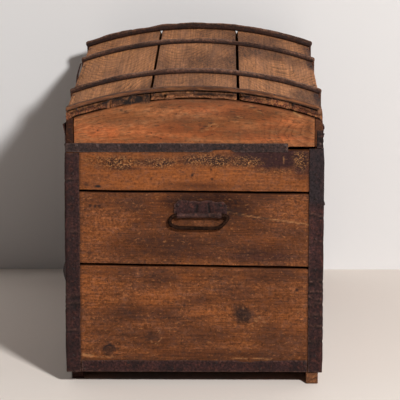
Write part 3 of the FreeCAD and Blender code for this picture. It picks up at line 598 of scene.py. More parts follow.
# floor boards and runners: finish, least smoke
floorLook = dict(boardLook, step=0.006)
floorBoards = {
    "bottom_board_front": ("agedPineSmoked", 0.0), "bottom_board_middle": ("agedPineSmoked", 0.0),
    "bottom_board_back": ("agedPineSmoked", 0.0), "runner_front": ("agedPineSmoked", 0.75),
    "runner_back": ("agedPineDry", 0.65),
}
for seed, (node, (finish, leastSmoke)) in enumerate(floorBoards.items(), 71):
    block, world = placedBlock(node, "xyz", floorLook, seed)
    paint = paintBoard(world, block["flat"], seed, 0.0)
    paint["smoke"] = np.maximum(paint["smoke"], leastSmoke)
    if node == "runner_front":
        paint["stain"] = 0.8 * smoothStep(0.40, 0.45, world[:, 0])   # its seen end is nearly black
    makePiece(node, [(world, block["quads"])], "case", pine[finish], paint)
print("bottom and runners made")


def domeHeight(radius, y):
    # height of a circle about the dome's axis: the root of the radius squared less y squared
    return domeCentre + np.sqrt(radius ** 2 - y ** 2)


lidBoard = {
    "look": dict(boardLook, step=(0.0055, 0.0026), radius=0.0009, chip=0.0018, fray=0.0005),
    # each edge at a seam has shrunk; the front seam closes under the hoop, and both close low at the far end
    "shrunk": 0.0002, "closed": 0.0020, "closedReach": (0.024, 0.012),
    "farClosed": 0.0034, "farReach": (0.040, 0.030), "farFoot": (0.0060, 0.0040),
    "endReach": (0.012, 0.001), "overhang": 0.0018, "endBite": 0.0065, "hang": 0.0060, "crumble": 0.0060,
    "lower": (0.004, 0.0), "upper": (0.009, 0.013), "ragged": (0.42, 0.62),
    "splits": (-0.168, -0.059, 0.092, 0.194), "splitDeep": 0.016, "splitHalf": 0.0013,
    "seamY": 0.088, "endX": (0.488, 0.4965), "seamTar": 0.004, "seamDirt": 0.010,
    "crumbSize": 0.030, "smudgeSize": 0.10, "tears": ((0.055, 12), (0.065, 15)),   # sizes, shifts of the seed
    # front and back of the end grain, where it glows and where it is scraped
    "sides": [((-0.150, -0.170), (0.085, 0.110)), ((-0.145, -0.165), (0.080, 0.110))],
    # flat-sawn: the pith lies below the board
    "pith": {"front": (0.4, -0.100, 0.026), "middle": (1.3, -0.070, 0.034), "back": (2.6, -0.105, 0.030)},
    # painted light and shade across the dome: the front board, which faces away from the lamp, is made
    # lighter (more glow, smoke taken away), and the back board darker
    "tone": {"front": 0.42, "middle": 0.08, "back": 0.04},
    "shade": {"front": -0.40, "middle": -0.04, "back": 0.27},
    # tar on the end grain, in millimetres as the marks on the seen end
    "tar": [
        (-130, 586, 46, 13, 1.6), (-176, 580, 12, 16, 1.3), (-100, 592, 24, 9, 1.4), (22, 598, 28, 7, 1.6),
        (-62, 596, 10, 12, 1.3), (66, 595, 26, 4, 0.9), (104, 592, 12, 9, 1.2), (150, 588, 10, 6, 0.8),
        (196, 578, 9, 9, 1.2), (232, 574, 8, 8, 0.9)],
}
for number, (name, pith) in enumerate(lidBoard["pith"].items()):
    node = "lid_board_" + name
    low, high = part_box(node)
    seed = 131 + 7 * number
    block = wornBlock((high.x - low.x, high.y - low.y, trunk["lidWall"]), lidBoard["look"], seed)
    flat, worn, side = block["flat"], block["worn"], block["side"]
    fromEnd = flat[:, 0].max() - flat[:, 0]
    atSeam = {"front": side > 0, "middle": True, "back": side < 0}[name]
    atFrontSeam = {"front": side > 0, "middle": side < 0, "back": False}[name]
    farFoot = smoothStep(*lidBoard["farReach"], flat[:, 0]) * smoothStep(*lidBoard["farFoot"], flat[:, 2])
    worn[:, 1] -= lidBoard["shrunk"] * side * atSeam
    worn[:, 1] += lidBoard["closed"] * side * atFrontSeam * smoothStep(*lidBoard["closedReach"], fromEnd)
    worn[:, 1] += lidBoard["farClosed"] * side * atSeam * farFoot
    # at the seen end: a broken face that overhangs, splits, crumbs hanging below and a crumbled upper edge
    atEnd = smoothStep(*lidBoard["endReach"], fromEnd)
    crumbs = roughNoise(flat, lidBoard["crumbSize"], seed + 9, 5, (0.3, 1, 1))
    bitten = lidBoard["endBite"] * smoothStep(0.25, 0.75, crumbs) - lidBoard["overhang"]
    for split in lidBoard["splits"]:
        gap = np.exp(-((flat[:, 1] + low.y - split) / lidBoard["splitHalf"]) ** 2)
        bitten = bitten + lidBoard["splitDeep"] * gap
    worn[:, 0] -= atEnd * bitten
    lower = smoothStep(*lidBoard["lower"], flat[:, 2])
    upper = smoothStep(*lidBoard["upper"], flat[:, 2])
    hanging, crumbled = [
        smoothStep(*lidBoard["ragged"], roughNoise(flat, tear, seed + shift, 5, (0.2, 1, 0)))
        for tear, shift in lidBoard["tears"]]
    crumbled *= upper
    worn[:, 2] -= atEnd * (lower * lidBoard["hang"] * hanging + lidBoard["crumble"] * crumbled)
    y = worn[:, 1] + low.y
    world = np.stack([worn[:, 0] + low.x, y, domeHeight(domeRadius + worn[:, 2], y)], -1)
    paint = paintBoard(world, flat, seed, lidBoard["tone"][name])
    paint["grain"] = flat + np.array(pith)
    # end grain: tar, crumbs and scraped wood; on top: smudges, darker beside the seams
    ends = smoothStep(*lidBoard["endX"], world[:, 0])
    besideSeam = np.abs(np.abs(y) - lidBoard["seamY"])
    endTar = paintEllipses(1000 * y, 1000 * world[:, 2], lidBoard["tar"], tornRims(world, 14.0, seed, 0.8))
    # the crumbled top under the hoop and the lowest strip of the end grain are darkened as well: tar, with
    # painted shade in the gaps under the hoop and above the panel
    endTar = np.maximum(np.clip(endTar, 0, 1), 0.8 * np.maximum(crumbled, 0.7 * lower))
    paint["tar"] = ends * np.maximum(endTar, 0.7 * np.exp(-(besideSeam / lidBoard["seamTar"]) ** 2))
    smudge = roughNoise(world, lidBoard["smudgeSize"], seed + 6, 5, (0.35, 1.4, 1))
    seamDirt = 0.7 * np.exp(-besideSeam / lidBoard["seamDirt"]) * (smudge > 0.40)
    smoke = np.clip(4.4 * (smudge - 0.46) + seamDirt + lidBoard["shade"][name], 0, 1)
    paint["smoke"] = smoke * (1 - ends) + 0.30 * ends * crumbs
    lit, outer = [np.maximum(smoothStep(*front, y), smoothStep(*back, y))
                  for front, back in lidBoard["sides"]]
    paint["glow"] = np.maximum(paint["glow"] * (1 - ends), 0.20 * ends * lit)
    paint["scrape"] = ends * (0.40 + 0.60 * outer)
    paint.update(dict.fromkeys(("stain", "knot"), np.zeros(len(world))))
    makePiece(node, [(world, block["quads"])], "lid", pine["agedPineDry"], paint)

# Rails and end panels, upright boards whose top edge follows the underside of the dome:
# axes for (length, width, thickness), finish, look, tone, smoke on the end grain
lidWalls = {
    "lid_rail_front": ("xzy", "agedPineSmoked", boardLook, 0.0, 0.95),
    "lid_rail_back": ("xzy", "agedPineSmoked", boardLook, 0.05, 0.5),
    "lid_end_panel_right": ("yzx", "agedPineBright", seenLook, 0.15, 0.0),
    "lid_end_panel_left": ("yzx", "agedPineBright", boardLook, 0.0, 0.0),
}
lidWall = {"crest": 0.0006, "crestRough": 0.0022, "crestSize": 0.018, "bareX": (0.480, 0.492),
           "bareZ": (0.006, 0.0), "bareDeep": 0.0026, "endGrain": (0.488, 0.497), "rim": (0.006, 0.0005)}
panelMarks = {
    "smoke": [
        (0, 534, 110, 22, 0.5), (80, 516, 110, 14, 0.4), (160, 522, 90, 16, 0.3), (-150, 550, 90, 18, 0.35),
        (113, 556, 90, 20, 0.55), (-20, 576, 150, 12, 0.4), (228, 525, 10, 30, 0.45),
        (-90, 505, 90, 9, 0.3)],
    "glow": [
        (-60, 520, 150, 20, 0.6), (-190, 518, 90, 22, 0.85), (150, 507, 100, 11, 0.7),
        (40, 566, 110, 14, 0.45), (-110, 500, 110, 9, 0.55), (175, 540, 60, 16, 0.5)],
    "swirl": [
        (252, 502, 120, 56, 1.0)],
    "tar": [
        (10, 536, 5, 2.2, 0.6), (22, 531, 8, 2, 0.8), (34, 539, 6, 2.0, 0.7), (16, 527, 5, 1.8, 0.7),
        (-194, 523, 3, 2.5, 0.8), (190, 512, 2, 5, 0.5), (-146, 564, 4, 2.5, 0.8), (-138, 561, 3, 2, 0.7),
        (46, 556, 3.5, 2.4, 0.9), (-36, 556, 3, 2, 0.8), (104, 574, 9, 2, 0.8), (118, 570, 10, 1.8, 0.8),
        (132, 564, 9, 1.8, 0.7), (190, 531, 3, 2, 0.8), (-60, 545, 2.5, 1.8, 0.6)],
}
panelScratches = [
    (24, 528, 40, 538, 1.0, 0.35), (38, 526, 49, 533, 0.9, 0.3), (108, 574, 118, 571, 1.2, 0.5),
    (28, 534, 46, 536, 0.8, 0.25), (120, 566, 134, 560, 1.0, 0.35), (86, 552, 96, 549, 0.9, 0.3),
    (14, 522, 30, 525, 0.9, 0.3), (200, 560, 214, 552, 1.6, 0.6),
]
for number, (node, (axes, finish, look, tone, endSmoke)) in enumerate(lidWalls.items()):
    seed = 171 + 5 * number
    block, world = placedBlock(node, axes, look, seed)
    foot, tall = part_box(node)[0].z, block["size"][1]
    x, y, z = world.T
    rise = (z - foot) / tall
    ragged = roughNoise(world, lidWall["crestSize"], seed + 8, 3, (0, 1, 0))
    top = domeHeight(domeRadius, y) - foot - (lidWall["crest"] + lidWall["crestRough"] * ragged)
    # where the lip strap is gone the lower edge is worn back from the seam
    bare = smoothStep(*strapGone, y) * smoothStep(*lidWall["bareX"], x)
    bare *= smoothStep(*lidWall["bareZ"], rise * tall)
    world[:, 2] = foot + rise * top + lidWall["bareDeep"] * bare
    paint = paintBoard(world, block["flat"], seed, tone)
    # end grain drinks up the dirt
    paint["smoke"] = np.maximum(paint["smoke"], endSmoke * smoothStep(*lidWall["endGrain"], np.abs(x)))
    if node == "lid_end_panel_right":
        across, up = 1000 * y, 1000 * z
        tear = tornRims(world, 40.0, seed, 0.9)
        for key, marks in panelMarks.items():
            paint[key] = paintEllipses(across, up, marks, tear if key in ("smoke", "glow") else 0.25 * tear)
        paint["glow"] = np.clip(paint["glow"] + tone, 0, 1)
        # painted shade along the panel's top edge, under the overhanging board ends
        paint["smoke"] = np.maximum(paint["smoke"], 0.75 * smoothStep(*lidWall["rim"], top * (1 - rise)))
        paint["pale"] = paintScratches(across, up, panelScratches)
        paint.update(dict.fromkeys(("stain", "scrape", "knot"), np.zeros(len(world))))
    makePiece(node, [(world, block["quads"])], "lid", pine[finish], paint)

# Hoop over the boards' seen end, short of the back
hoop = {
    "node": "lid_end_hoop", "wall": 0.008, "seat": 0.0006, "shortBack": 0.007, "lift": 0.0012, "tone": 0.10,
    "look": dict(boardLook, step=0.003, chip=0.003, chipFrom=0.50, hollow=0.0010, fray=0.002, radius=0.0022),
    "seed": 211, "liftSize": 0.07, "smokeSize": 0.05, "darkFarEdge": (0.0075, 0.0015), "footShade": (0.0030, 0.0),
}
low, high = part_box(hoop["node"])
size = (high.y - low.y - hoop["shortBack"], high.x - low.x, hoop["wall"])
block = wornBlock(size, hoop["look"], hoop["seed"])
flat, worn = block["flat"], block["worn"]
y = worn[:, 0] + low.y
lift = hoop["lift"] * roughNoise(flat, hoop["liftSize"], hoop["seed"] + 4, 3, (1, 0, 0))
world = np.stack([worn[:, 1] + low.x, y, domeHeight(domeTop + hoop["seat"] + lift + worn[:, 2], y)], -1)
paint = paintBoard(world, flat, hoop["seed"], hoop["tone"])
paint.update(dict.fromkeys(("scrape", "knot", "pale"), np.zeros(len(world))))
paint["smoke"] = 0.45 + 0.7 * roughNoise(world, hoop["smokeSize"], hoop["seed"] + 7, 4)
# darker along the far edge of its top; painted shade along its foot, where it sits on the boards
paint["stain"] = 0.75 * smoothStep(*hoop["darkFarEdge"], flat[:, 1])
paint["tar"] = 0.8 * smoothStep(*hoop["footShade"], flat[:, 2])
makePiece(hoop["node"], [(world, block["quads"])], "lid", pine["agedPineDry"], paint)
print("lid boards made")

# How iron is worn: straps and plates are thin blocks with eaten edges
strapLook = {
    "step": (0.004, 0.0026), "edge": 0.0012, "radius": 0.0008, "chip": 0.0022, "chipFrom": 0.54,
    "chipSize": 0.016, "chipReach": 0.0030, "hollow": 0.0005, "hollowSize": 0.020, "fray": 0.0018,
    "fraySize": 0.024,
}


def rubbedEdge(block):
    # metal rubbed bright, strongest on the edges and gone a few millimetres away
    return 0.7 * smoothStep(0.0035, 0.0006, block["depth"])


# straps and plates: axes for (length, width, thickness)
straps = {
    "bottom_strap_right": "yzx", "bottom_strap_left": "yzx", "bottom_strap_front": "xzy",
    "bottom_strap_back": "xzy", "lid_strap_right": "yzx", "lid_strap_left": "yzx", "lid_strap_front": "xzy",
    "lid_corner_iron_front": "zxy", "lock_plate": "xzy",
}
# edges eaten back over a short stretch: where it starts and stops, how far up, depth, noise
strapBites = {
    "lid_strap_right": {
        "start": (0.030, 0.042), "stop": (0.084, 0.072), "up": (0.486, 0.478), "deep": 0.0055,
        "ragged": (0.40, 0.62), "size": 0.024, "seed": 388},
    "bottom_strap_right": {
        "start": (0.060, 0.080), "stop": (0.170, 0.150), "up": (0.040, 0.048), "deep": -0.0050,
        "ragged": (0.42, 0.62), "size": 0.030, "seed": 389},
}
# the front lid iron's free corner is sprung out
lidIronCorner = {"far": 0.0045, "up": (0.512, 0.538), "along": (0.478, 0.502)}
for number, (node, axes) in enumerate(straps.items()):
    block, world = placedBlock(node, axes, strapLook, 301 + 7 * number)
    x, y, z = world.T
    if node in strapBites:
        bite = strapBites[node]
        eaten = smoothStep(*bite["start"], y) * smoothStep(*bite["stop"], y) * smoothStep(*bite["up"], z)
        ragged = smoothStep(*bite["ragged"], roughNoise(world, bite["size"], bite["seed"], 3, (0, 1, 0)))
        world[:, 2] += bite["deep"] * eaten * ragged
    if node == "lid_corner_iron_front":
        sprung = smoothStep(*lidIronCorner["up"], z) * smoothStep(*lidIronCorner["along"], x)
        world[:, 1] -= lidIronCorner["far"] * sprung
    body = "lid" if node.startswith("lid") else "case"
    finish = "wroughtIronSlate" if node.startswith("lid_strap") else "wroughtIronRusted"
    paint = {"edge": rubbedEdge(block)}
    makePiece(node, [(world, block["quads"])], body, iron[finish], paint)

# Corner irons: body, end, side, leg on each face, seed, heights of the hammer creases where they are seen
cornerIrons = {
    "corner_iron_front_right": ("case", 1, -1, 0.028, 408, (0.184, 0.176, 0.166, 0.157, 0.110, 0.315, 0.420)),
    "corner_iron_back_right": (
        "case", 1, 1, 0.028, 414, (0.213, 0.203, 0.190, 0.172, 0.165, 0.143, 0.117, 0.292, 0.345, 0.088)),
    "corner_iron_front_left": ("case", -1, -1, 0.028, 388, None),
    "corner_iron_back_left": ("case", -1, 1, 0.028, 394, None),
    "lid_corner_iron_back": ("lid", 1, 1, 0.013, 431, None),
}
cornerWear = {
    "thick": 0.002, "creaseHalf": 0.0019, "creaseDeep": 0.0011, "slants": [0.16, -0.10, 0.05, -0.22, 0.12],
    "lipAbove": 0.0040, "lipHalf": 0.0018, "spring": 0.0010, "batter": 0.0028, "bendHalf": 0.009,
    "springSize": 0.06, "batterSize": 0.035, "plainEnd": 0.03, "edgeShadeReach": 0.0025,
    "curlZ": 0.229, "curlHalf": 0.020, "curlFar": 0.008,   # the front iron's free edge is sprung out
    "blueZ": (0.360, 0.385),                               # the back iron is bluer above
}
for node, (body, end, side, leg, seed, creaseHeights) in cornerIrons.items():
    # a strap bent round an upright edge: along one face, a quarter turn about the corner, along the other
    low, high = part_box(node)
    thick = cornerWear["thick"]
    turn = 0.5 * math.pi * thick
    block = wornBlock((high.z - low.z, 2 * leg + turn, thick), strapLook, seed)
    flat, worn = block["flat"], block["worn"]
    run = worn[:, 1]
    angle = np.clip((run - leg) / turn, 0, 1) * math.pi / 2
    onEnd = np.clip(leg - run, 0, None)
    onSide = np.clip(run - leg - turn, 0, None)
    # hammer creases across the iron, a slight spring off the wood, and a battered bend
    tall = flat[:, 0].max()
    creases = np.random.default_rng(seed).uniform(0.08, 0.92, 9) * tall
    if creaseHeights:
        creases = np.array(creaseHeights) - low.z
    fromCrease = flat[:, 0:1] - np.resize(cornerWear["slants"], len(creases)) * (flat[:, 1:2] - leg) - creases
    ridges = np.exp(-(fromCrease / cornerWear["creaseHalf"]) ** 2).sum(1)
    lipHighlights = np.exp(-((fromCrease - cornerWear["lipAbove"]) / cornerWear["lipHalf"]) ** 2).sum(1)
    spring = cornerWear["spring"] * roughNoise(flat, cornerWear["springSize"], seed + 4, 3, (1, 0.2, 0))
    awayFromEnds = smoothStep(0, cornerWear["plainEnd"], flat[:, 0])
    awayFromEnds *= smoothStep(0, cornerWear["plainEnd"], tall - flat[:, 0])
    bend = np.exp(-((flat[:, 1] - leg - turn / 2) / cornerWear["bendHalf"]) ** 2)
    battered = roughNoise(flat, cornerWear["batterSize"], seed + 6, 4, (1, 0, 0))
    spring += cornerWear["batter"] * awayFromEnds * bend * battered
    out = worn[:, 2] + (spring - cornerWear["creaseDeep"] * ridges) * (worn[:, 2] / thick)
    z = worn[:, 0] + low.z
    if node == "corner_iron_front_right":
        curl = np.exp(-((z - cornerWear["curlZ"]) / cornerWear["curlHalf"]) ** 2) * (onSide / leg) ** 2
        out += cornerWear["curlFar"] * curl
    points = np.stack([end * (trunk["halfLength"] - onSide + out * np.cos(angle)),
                       side * (trunk["halfDepth"] - onEnd + out * np.sin(angle)), z], -1)
    # painted highlight on the lip above each hammer crease, painted shade in the crease, and on the end face
    # a painted shadow line along the iron's edges
    creased = np.clip(ridges, 0, 1)
    edgeShade = smoothStep(cornerWear["edgeShadeReach"], 0, block["depth"]) * (block["side"] < 0)
    paint = {"edge": np.maximum(rubbedEdge(block), 0.75 * np.clip(lipHighlights, 0, 1) * (1 - creased)),
             "grimeAndShade": 0.90 * creased + 0.5 * edgeShade}
    # the front iron is a little darker all over
    if node == "corner_iron_front_right":
        paint["grimeAndShade"] = np.maximum(paint["grimeAndShade"], 0.22)
    if node == "corner_iron_back_right":
        paint["blue"] = 0.95 * smoothStep(*cornerWear["blueZ"], z)
    makePiece(node, [(points, block["quads"])], body, iron["wroughtIronRusted"], paint)
print("straps and corner irons made")

band = {
    "half": 0.013, "edge": 0.0036, "crown": 0.0094, "leg": 0.0045, "seat": 0.0002, "fan": 0.006,
    "wrinkle": 0.0032, "counts": (14, 5, 150, 5, 22),   # steps up, round, over the dome, round and down
    "frontFoot": 0.4992, "neckHalf": 0.0049, "neckTop": 0.4946, "neckEase": 0.004,
    "hingeY": 0.2643, "hingeZ": 0.4872, "knuckle": 0.006, "unevenSize": 0.03,
    "wrinkleSize": 0.0065, "wrinkleScale": (0.11, 0.013), "wrinkled": (0.46, 0.64),
}
# middle along the trunk, whether it ends in a hinge knuckle, foot at the back, extra thickness on top
bandNodes = {"lid_band_right": (0.235, True, 0.4872, 0.0), "lid_band_left": (-0.235, True, 0.4872, 0.0),
             "lid_end_band": (-0.486, False, 0.4880, 0.004)}


barEnd = {"ease": 0.0006, "shrunk": 0.92}


def roundBar(low, high, middleY, middleZ, radius, count=12):
    # a square bar along x drawn onto a disc: each side's half width shrinks with the other; ends eased
    side = np.linspace(-1, 1, count)
    along = np.array([low, low + barEnd["ease"], 0.5 * (low + high), high - barEnd["ease"], high])
    points, quads = blockSkin(along, side, side)
    x, b, c = points.T
    atEnd = np.minimum(x - low, high - x) < 0.5 * barEnd["ease"]
    eased = np.where(atEnd, barEnd["shrunk"], 1.0) * radius
    return np.stack([x, middleY + eased * b * np.sqrt(1 - c * c / 2),
                     middleZ + eased * c * np.sqrt(1 - b * b / 2)], -1), quads


domeReach = math.asin(trunk["halfDepth"] / domeTop)
shoulderZ = domeHeight(domeTop, trunk["halfDepth"])
for number, (node, (middle, hinged, backFoot, extra)) in enumerate(bandNodes.items()):
    # half-round bar carried up the front, over the dome and down the back; it turns in a fan at each shoulder
    lengths = np.cumsum([0, shoulderZ - band["frontFoot"], band["fan"], 2 * domeReach * domeTop, band["fan"],
                         shoulderZ - backFoot])
    run = np.concatenate([np.linspace(lengths[i], lengths[i + 1], count, endpoint=False)
                          for i, count in enumerate(band["counts"])] + [lengths[-1:]])
    points, quads = blockSkin(run, np.linspace(-1, 1, 17), np.array([0.0, 0.5, 1.0]))
    s, v, c = points.T                 # along the band, across it, and up from the wood
    phi = np.clip((s - lengths[2]) / domeTop - domeReach, -domeReach, domeReach)
    fans = np.clip((lengths[2] - s) / band["fan"], 0, 1) - np.clip((s - lengths[3]) / band["fan"], 0, 1)
    lean = -phi + (math.pi / 2 - domeReach) * fans
    down = np.clip(lengths[1] - s, 0, None) + np.clip(s - lengths[4], 0, None)
    seatY = (domeTop + band["seat"]) * np.sin(phi)
    seatZ = domeCentre + (domeTop + band["seat"]) * np.cos(phi) - down
    bow = np.sqrt(np.clip(1 - v * v, 0, 1))
    onTop = smoothStep(lengths[1], lengths[2], s) * smoothStep(lengths[4], lengths[3], s)
    uneven = roughNoise(np.stack([s, 0 * s, 0 * s + number], -1), band["unevenSize"], 451)
    legThick = band["leg"] * (0.55 + 0.45 * bow)
    topThick = band["edge"] + extra + (band["crown"] - band["edge"]) * bow
    lengthwise, crosswise = band["wrinkleScale"]
    wrinkle = np.stack([lengthwise * s, crosswise * v, 0.05 * number + 0 * s], -1)
    wrinkle = smoothStep(*band["wrinkled"], roughNoise(wrinkle, band["wrinkleSize"], 457)) * onTop
    thick = ((1 - onTop) * legThick + onTop * topThick) * (0.82 + 0.32 * uneven)
    thick -= band["wrinkle"] * wrinkle * bow
    halfWidth = band["half"] * (0.90 + 0.10 * uneven)
    if hinged:
        neck = smoothStep(band["neckTop"] + band["neckEase"], band["neckTop"], seatZ) * (seatY > 0)
        halfWidth = halfWidth * (1 - neck) + band["neckHalf"] * neck
    points = np.stack([middle + v * halfWidth, seatY - np.sin(lean) * c * thick,
                       seatZ + np.cos(lean) * c * thick], -1)
    shells = [(points, quads)]
    if hinged:
        shells.append(roundBar(middle - band["neckHalf"], middle + band["neckHalf"],
                               band["hingeY"], band["hingeZ"], band["knuckle"]))
    # the crown is lighter between the wrinkles, in the worn colour, partly rubbed metal and partly a painted
    # highlight along its top; it is darker in the wrinkles and along the foot, painted shade there
    plain = np.zeros(sum(len(shell[0]) for shell in shells[1:]))
    crown = 0.85 * c * onTop * bow * (1 - wrinkle)
    dirt = np.maximum(0.70 * wrinkle, onTop * 0.60 * smoothStep(0.80, 1.0, np.abs(v)))
    paint = {"edge": np.concatenate([crown, plain]), "grimeAndShade": np.concatenate([dirt, plain])}
    makePiece(node, shells, "lid", iron["wroughtIronBrown"], paint)
print("bands made")

handle = {
    "pivotX": 0.508, "pivotY": 0.010, "pivotZ": 0.3515, "plate": 0.003, "half": 0.054, "above": 0.033,
    "below": 0.0065, "eyeOut": 0.045, "eyeRadius": 0.0064, "rod": 0.004, "play": 0.0004,
    "plateLook": dict(strapLook, step=0.0018, hollow=0.0009, hollowSize=0.012, fray=0.0),
    "shoulder": 0.009, "lumps": 0.0085, "plateBack": 0.003, "plateBow": 0.003,
    "shoulderAt": (0.80, 1.0), "lumpSize": 0.017, "cutFoot": (0.22, 0.36), "cutHead": (0.92, 0.74),
    "cuts": [(-0.011, 0.006), (0.014, -0.005)], "cutHalf": 0.0021, "cutDeep": 0.0021,
    # the barrel's wall in shares of the eye's reach and radius: out over it, and back in the bore
    "barrelAt": [-1, -0.985, -0.82, -0.78, -0.4, 0, 0.4, 0.78, 0.82, 0.985, 1, 1, 0.5, 0, -0.5, -1],
    "barrelOut": [0.93, 1, 1, 0.82, 0.78, 0.80, 0.78, 0.82, 1, 1, 0.93],
    # grip outline about the pivot, across and up, from one inturned end to the other
    "grip": [
        (0.036, 0.0), (0.05, 0.0), (0.0575, -0.003), (0.0575, -0.0085), (0.047, -0.0205), (0.038, -0.0262),
        (0.022, -0.0268), (-0.02, -0.0262), (-0.044, -0.0255), (-0.0575, -0.0205), (-0.06, -0.0125),
        (-0.056, -0.0035), (-0.048, 0.0), (-0.036, 0.0)],
}


def smoothPath(corners, count):
    # quadratic B-spline: each stretch runs between the middles of two sides, bent towards their corner
    corners = np.array(corners)
    middles = 0.5 * (corners[1:] + corners[:-1])
    t = np.linspace(0, 1, count, endpoint=False)[None, :, None]
    path = ((1 - t) ** 2 * middles[:-1][:, None] + 2 * t * (1 - t) * corners[1:-1][:, None]
            + t ** 2 * middles[1:][:, None])
    return np.concatenate([corners[:1], path.reshape(-1, corners.shape[1]), middles[-1:], corners[-1:]])


for endName, end in (("right", 1), ("left", -1)):
    # plate: a thin block with a lumpy upper edge and two chisel marks, over a rolled barrel
    size = (2 * handle["half"], handle["above"] + handle["below"], handle["plate"])
    block = wornBlock(size, handle["plateLook"], 501 + end)
    worn, flat = block["worn"], block["flat"]
    across = 2 * flat[:, 0] / size[0] - 1
    up = flat[:, 1] / size[1]
    lumps = roughNoise(flat, handle["lumpSize"], 507, 2, (1, 0, 0))
    shoulders = handle["shoulder"] * smoothStep(*handle["shoulderAt"], np.abs(across))
    worn[:, 1] -= up * (shoulders + handle["lumps"] * lumps)
    cut = np.zeros(len(flat))
    for middle, lean in handle["cuts"]:
        line = (flat[:, 0] - handle["half"] - middle - lean * (up - 0.5)) / handle["cutHalf"]
        mark = np.exp(-line ** 2) * smoothStep(*handle["cutFoot"], up) * smoothStep(*handle["cutHead"], up)
        cut = np.maximum(cut, mark)
    onFace = worn[:, 2] > 0.5 * handle["plate"]
    points = np.stack([trunk["halfLength"] + worn[:, 2] - handle["cutDeep"] * cut * onFace,
                       handle["pivotY"] - handle["half"] + worn[:, 0],
                       handle["pivotZ"] - handle["below"] + worn[:, 1]], -1)
    points[:, 1] += handle["plateBow"] * (1 - across ** 2) + handle["plateBack"]
    # barrel: a rolled tube along the pivot with an eye at each end; its wall's section is carried round
    reach = np.array(handle["barrelAt"]) * handle["eyeOut"]
    bore = (handle["rod"] + handle["play"]) / handle["eyeRadius"]
    radii = np.array(handle["barrelOut"] + [bore] * 5) * handle["eyeRadius"]
    turn = np.linspace(0, 2 * math.pi, 25)[:-1]
    grid = np.stack([handle["pivotX"] + radii[:, None] * np.cos(turn),
                     handle["pivotY"] + reach[:, None] + 0 * turn,
                     handle["pivotZ"] + radii[:, None] * np.sin(turn)], -1)
    barrel = grid.reshape(-1, 3)
    # the chisel marks are darker: painted shade in the cuts
    paint = {"edge": np.concatenate([rubbedEdge(block), np.full(len(barrel), 0.35)]),
             "grimeAndShade": np.concatenate([np.clip(1.5 * cut, 0, 1), np.zeros(len(barrel))])}
    mirror = np.array([end, 1, 1])
    shells = [(points * mirror, block["quads"]), (barrel * mirror, ringQuads(grid.shape[:2]))]
    makePiece(f"handle_plate_{endName}", shells, "case", iron["wroughtIronRusted"], paint)
    # grip: a disc carried along the outline, a little uneven
    path = smoothPath(handle["grip"], 8)
    ahead = np.gradient(path, axis=0)
    ahead /= np.linalg.norm(ahead, axis=1, keepdims=True)
    normal = np.stack([-ahead[:, 1], ahead[:, 0]], -1)
    side = np.linspace(-1, 1, 7)
    points, quads = blockSkin(np.arange(len(path), dtype=float), side, side)
    at = points[:, 0].astype(int)
    b = points[:, 1] * np.sqrt(1 - points[:, 2] ** 2 / 2)
    c = points[:, 2] * np.sqrt(1 - points[:, 1] ** 2 / 2)
    uneven = roughNoise(np.stack([path[at, 0], path[at, 1], 0 * at], -1), 0.02, 521)
    rod = handle["rod"] * (0.90 + 0.10 * uneven)
    outline = path[at] + normal[at] * (b * rod)[:, None]
    grip = np.stack([end * (handle["pivotX"] + c * rod), handle["pivotY"] + outline[:, 0],
                     handle["pivotZ"] + outline[:, 1]], -1)
    makePiece(f"handle_bail_{endName}", [(grip, quads)], endName + "_bail",
              iron["wroughtIronHandled"], {"edge": np.full(len(grip), 0.2)})
print("handles made")

hasp = {
    "pivotY": -0.2645, "pivotZ": 0.5043, "lean": math.radians(4.689), "half": 0.018, "reach": 0.084,
    "corner": 0.010, "slotAt": 0.0623, "slotHalf": 0.0045, "slotReach": 0.012, "thick": 0.003,
    "bendAt": 0.056, "bendEase": 0.006, "bend": math.radians(13), "knuckle": 0.005, "knuckleHalf": 0.008,
    "notch": 0.0056, "uneven": 0.035,
    # section of the ring of iron: shares from slot to rim, over the face and back, and its level there
    "across": [0, 0.02, 0.2, 0.4, 0.6, 0.8, 0.98, 1], "level": [0.7, 1, 1, 1, 1, 1, 1, 0.7],
}
# leaf: a ring of iron round the slot; each ray from the slot's middle runs from the slot's rounded outline
# to the nearest side of the leaf, and the upper part is bent back over the lid's edge
turn = np.linspace(0, 2 * math.pi, 97)[:-1]
ray = np.stack([np.cos(turn), np.sin(turn)], -1)
slant = math.sqrt(0.5)
above = hasp["reach"] - hasp["slotAt"]
cornerFar = slant * (hasp["half"] + above - hasp["corner"])
sides = np.array([[1, 0, hasp["half"]], [-1, 0, hasp["half"]], [0, 1, above],
                  [0, -1, hasp["slotAt"] - hasp["notch"]], [slant, slant, cornerFar],
                  [-slant, slant, cornerFar]])
facing = ray @ sides[:, :2].T
outer = np.where(facing > 1e-6, sides[:, 2] / np.where(facing > 1e-6, facing, 1), 1e3).min(1)
outer *= 1 - hasp["uneven"] * smoothNoise(np.stack([3 * ray[:, 0], 3 * ray[:, 1], 0 * turn], -1), 0.5, 533)
inner = (np.abs(ray[:, 0] / hasp["slotHalf"]) ** 4 + np.abs(ray[:, 1] / hasp["slotReach"]) ** 4) ** -0.25
across = np.array(hasp["across"] + hasp["across"][::-1])
level = np.concatenate([hasp["level"], np.negative(hasp["level"])]) * hasp["thick"] / 2
spread = inner[:, None] + across * (outer - inner)[:, None]
leafX = spread * ray[:, :1]
leafUp = hasp["slotAt"] + spread * ray[:, 1:]
over = np.clip(leafUp - hasp["bendAt"], 0, None)
out = level - over ** 2 / (over + hasp["bendEase"]) * math.tan(hasp["bend"])
sinLean, cosLean = math.sin(hasp["lean"]), math.cos(hasp["lean"])
leaf = np.stack([leafX, hasp["pivotY"] + leafUp * sinLean - out * cosLean,
                 hasp["pivotZ"] + leafUp * cosLean + out * sinLean], -1)
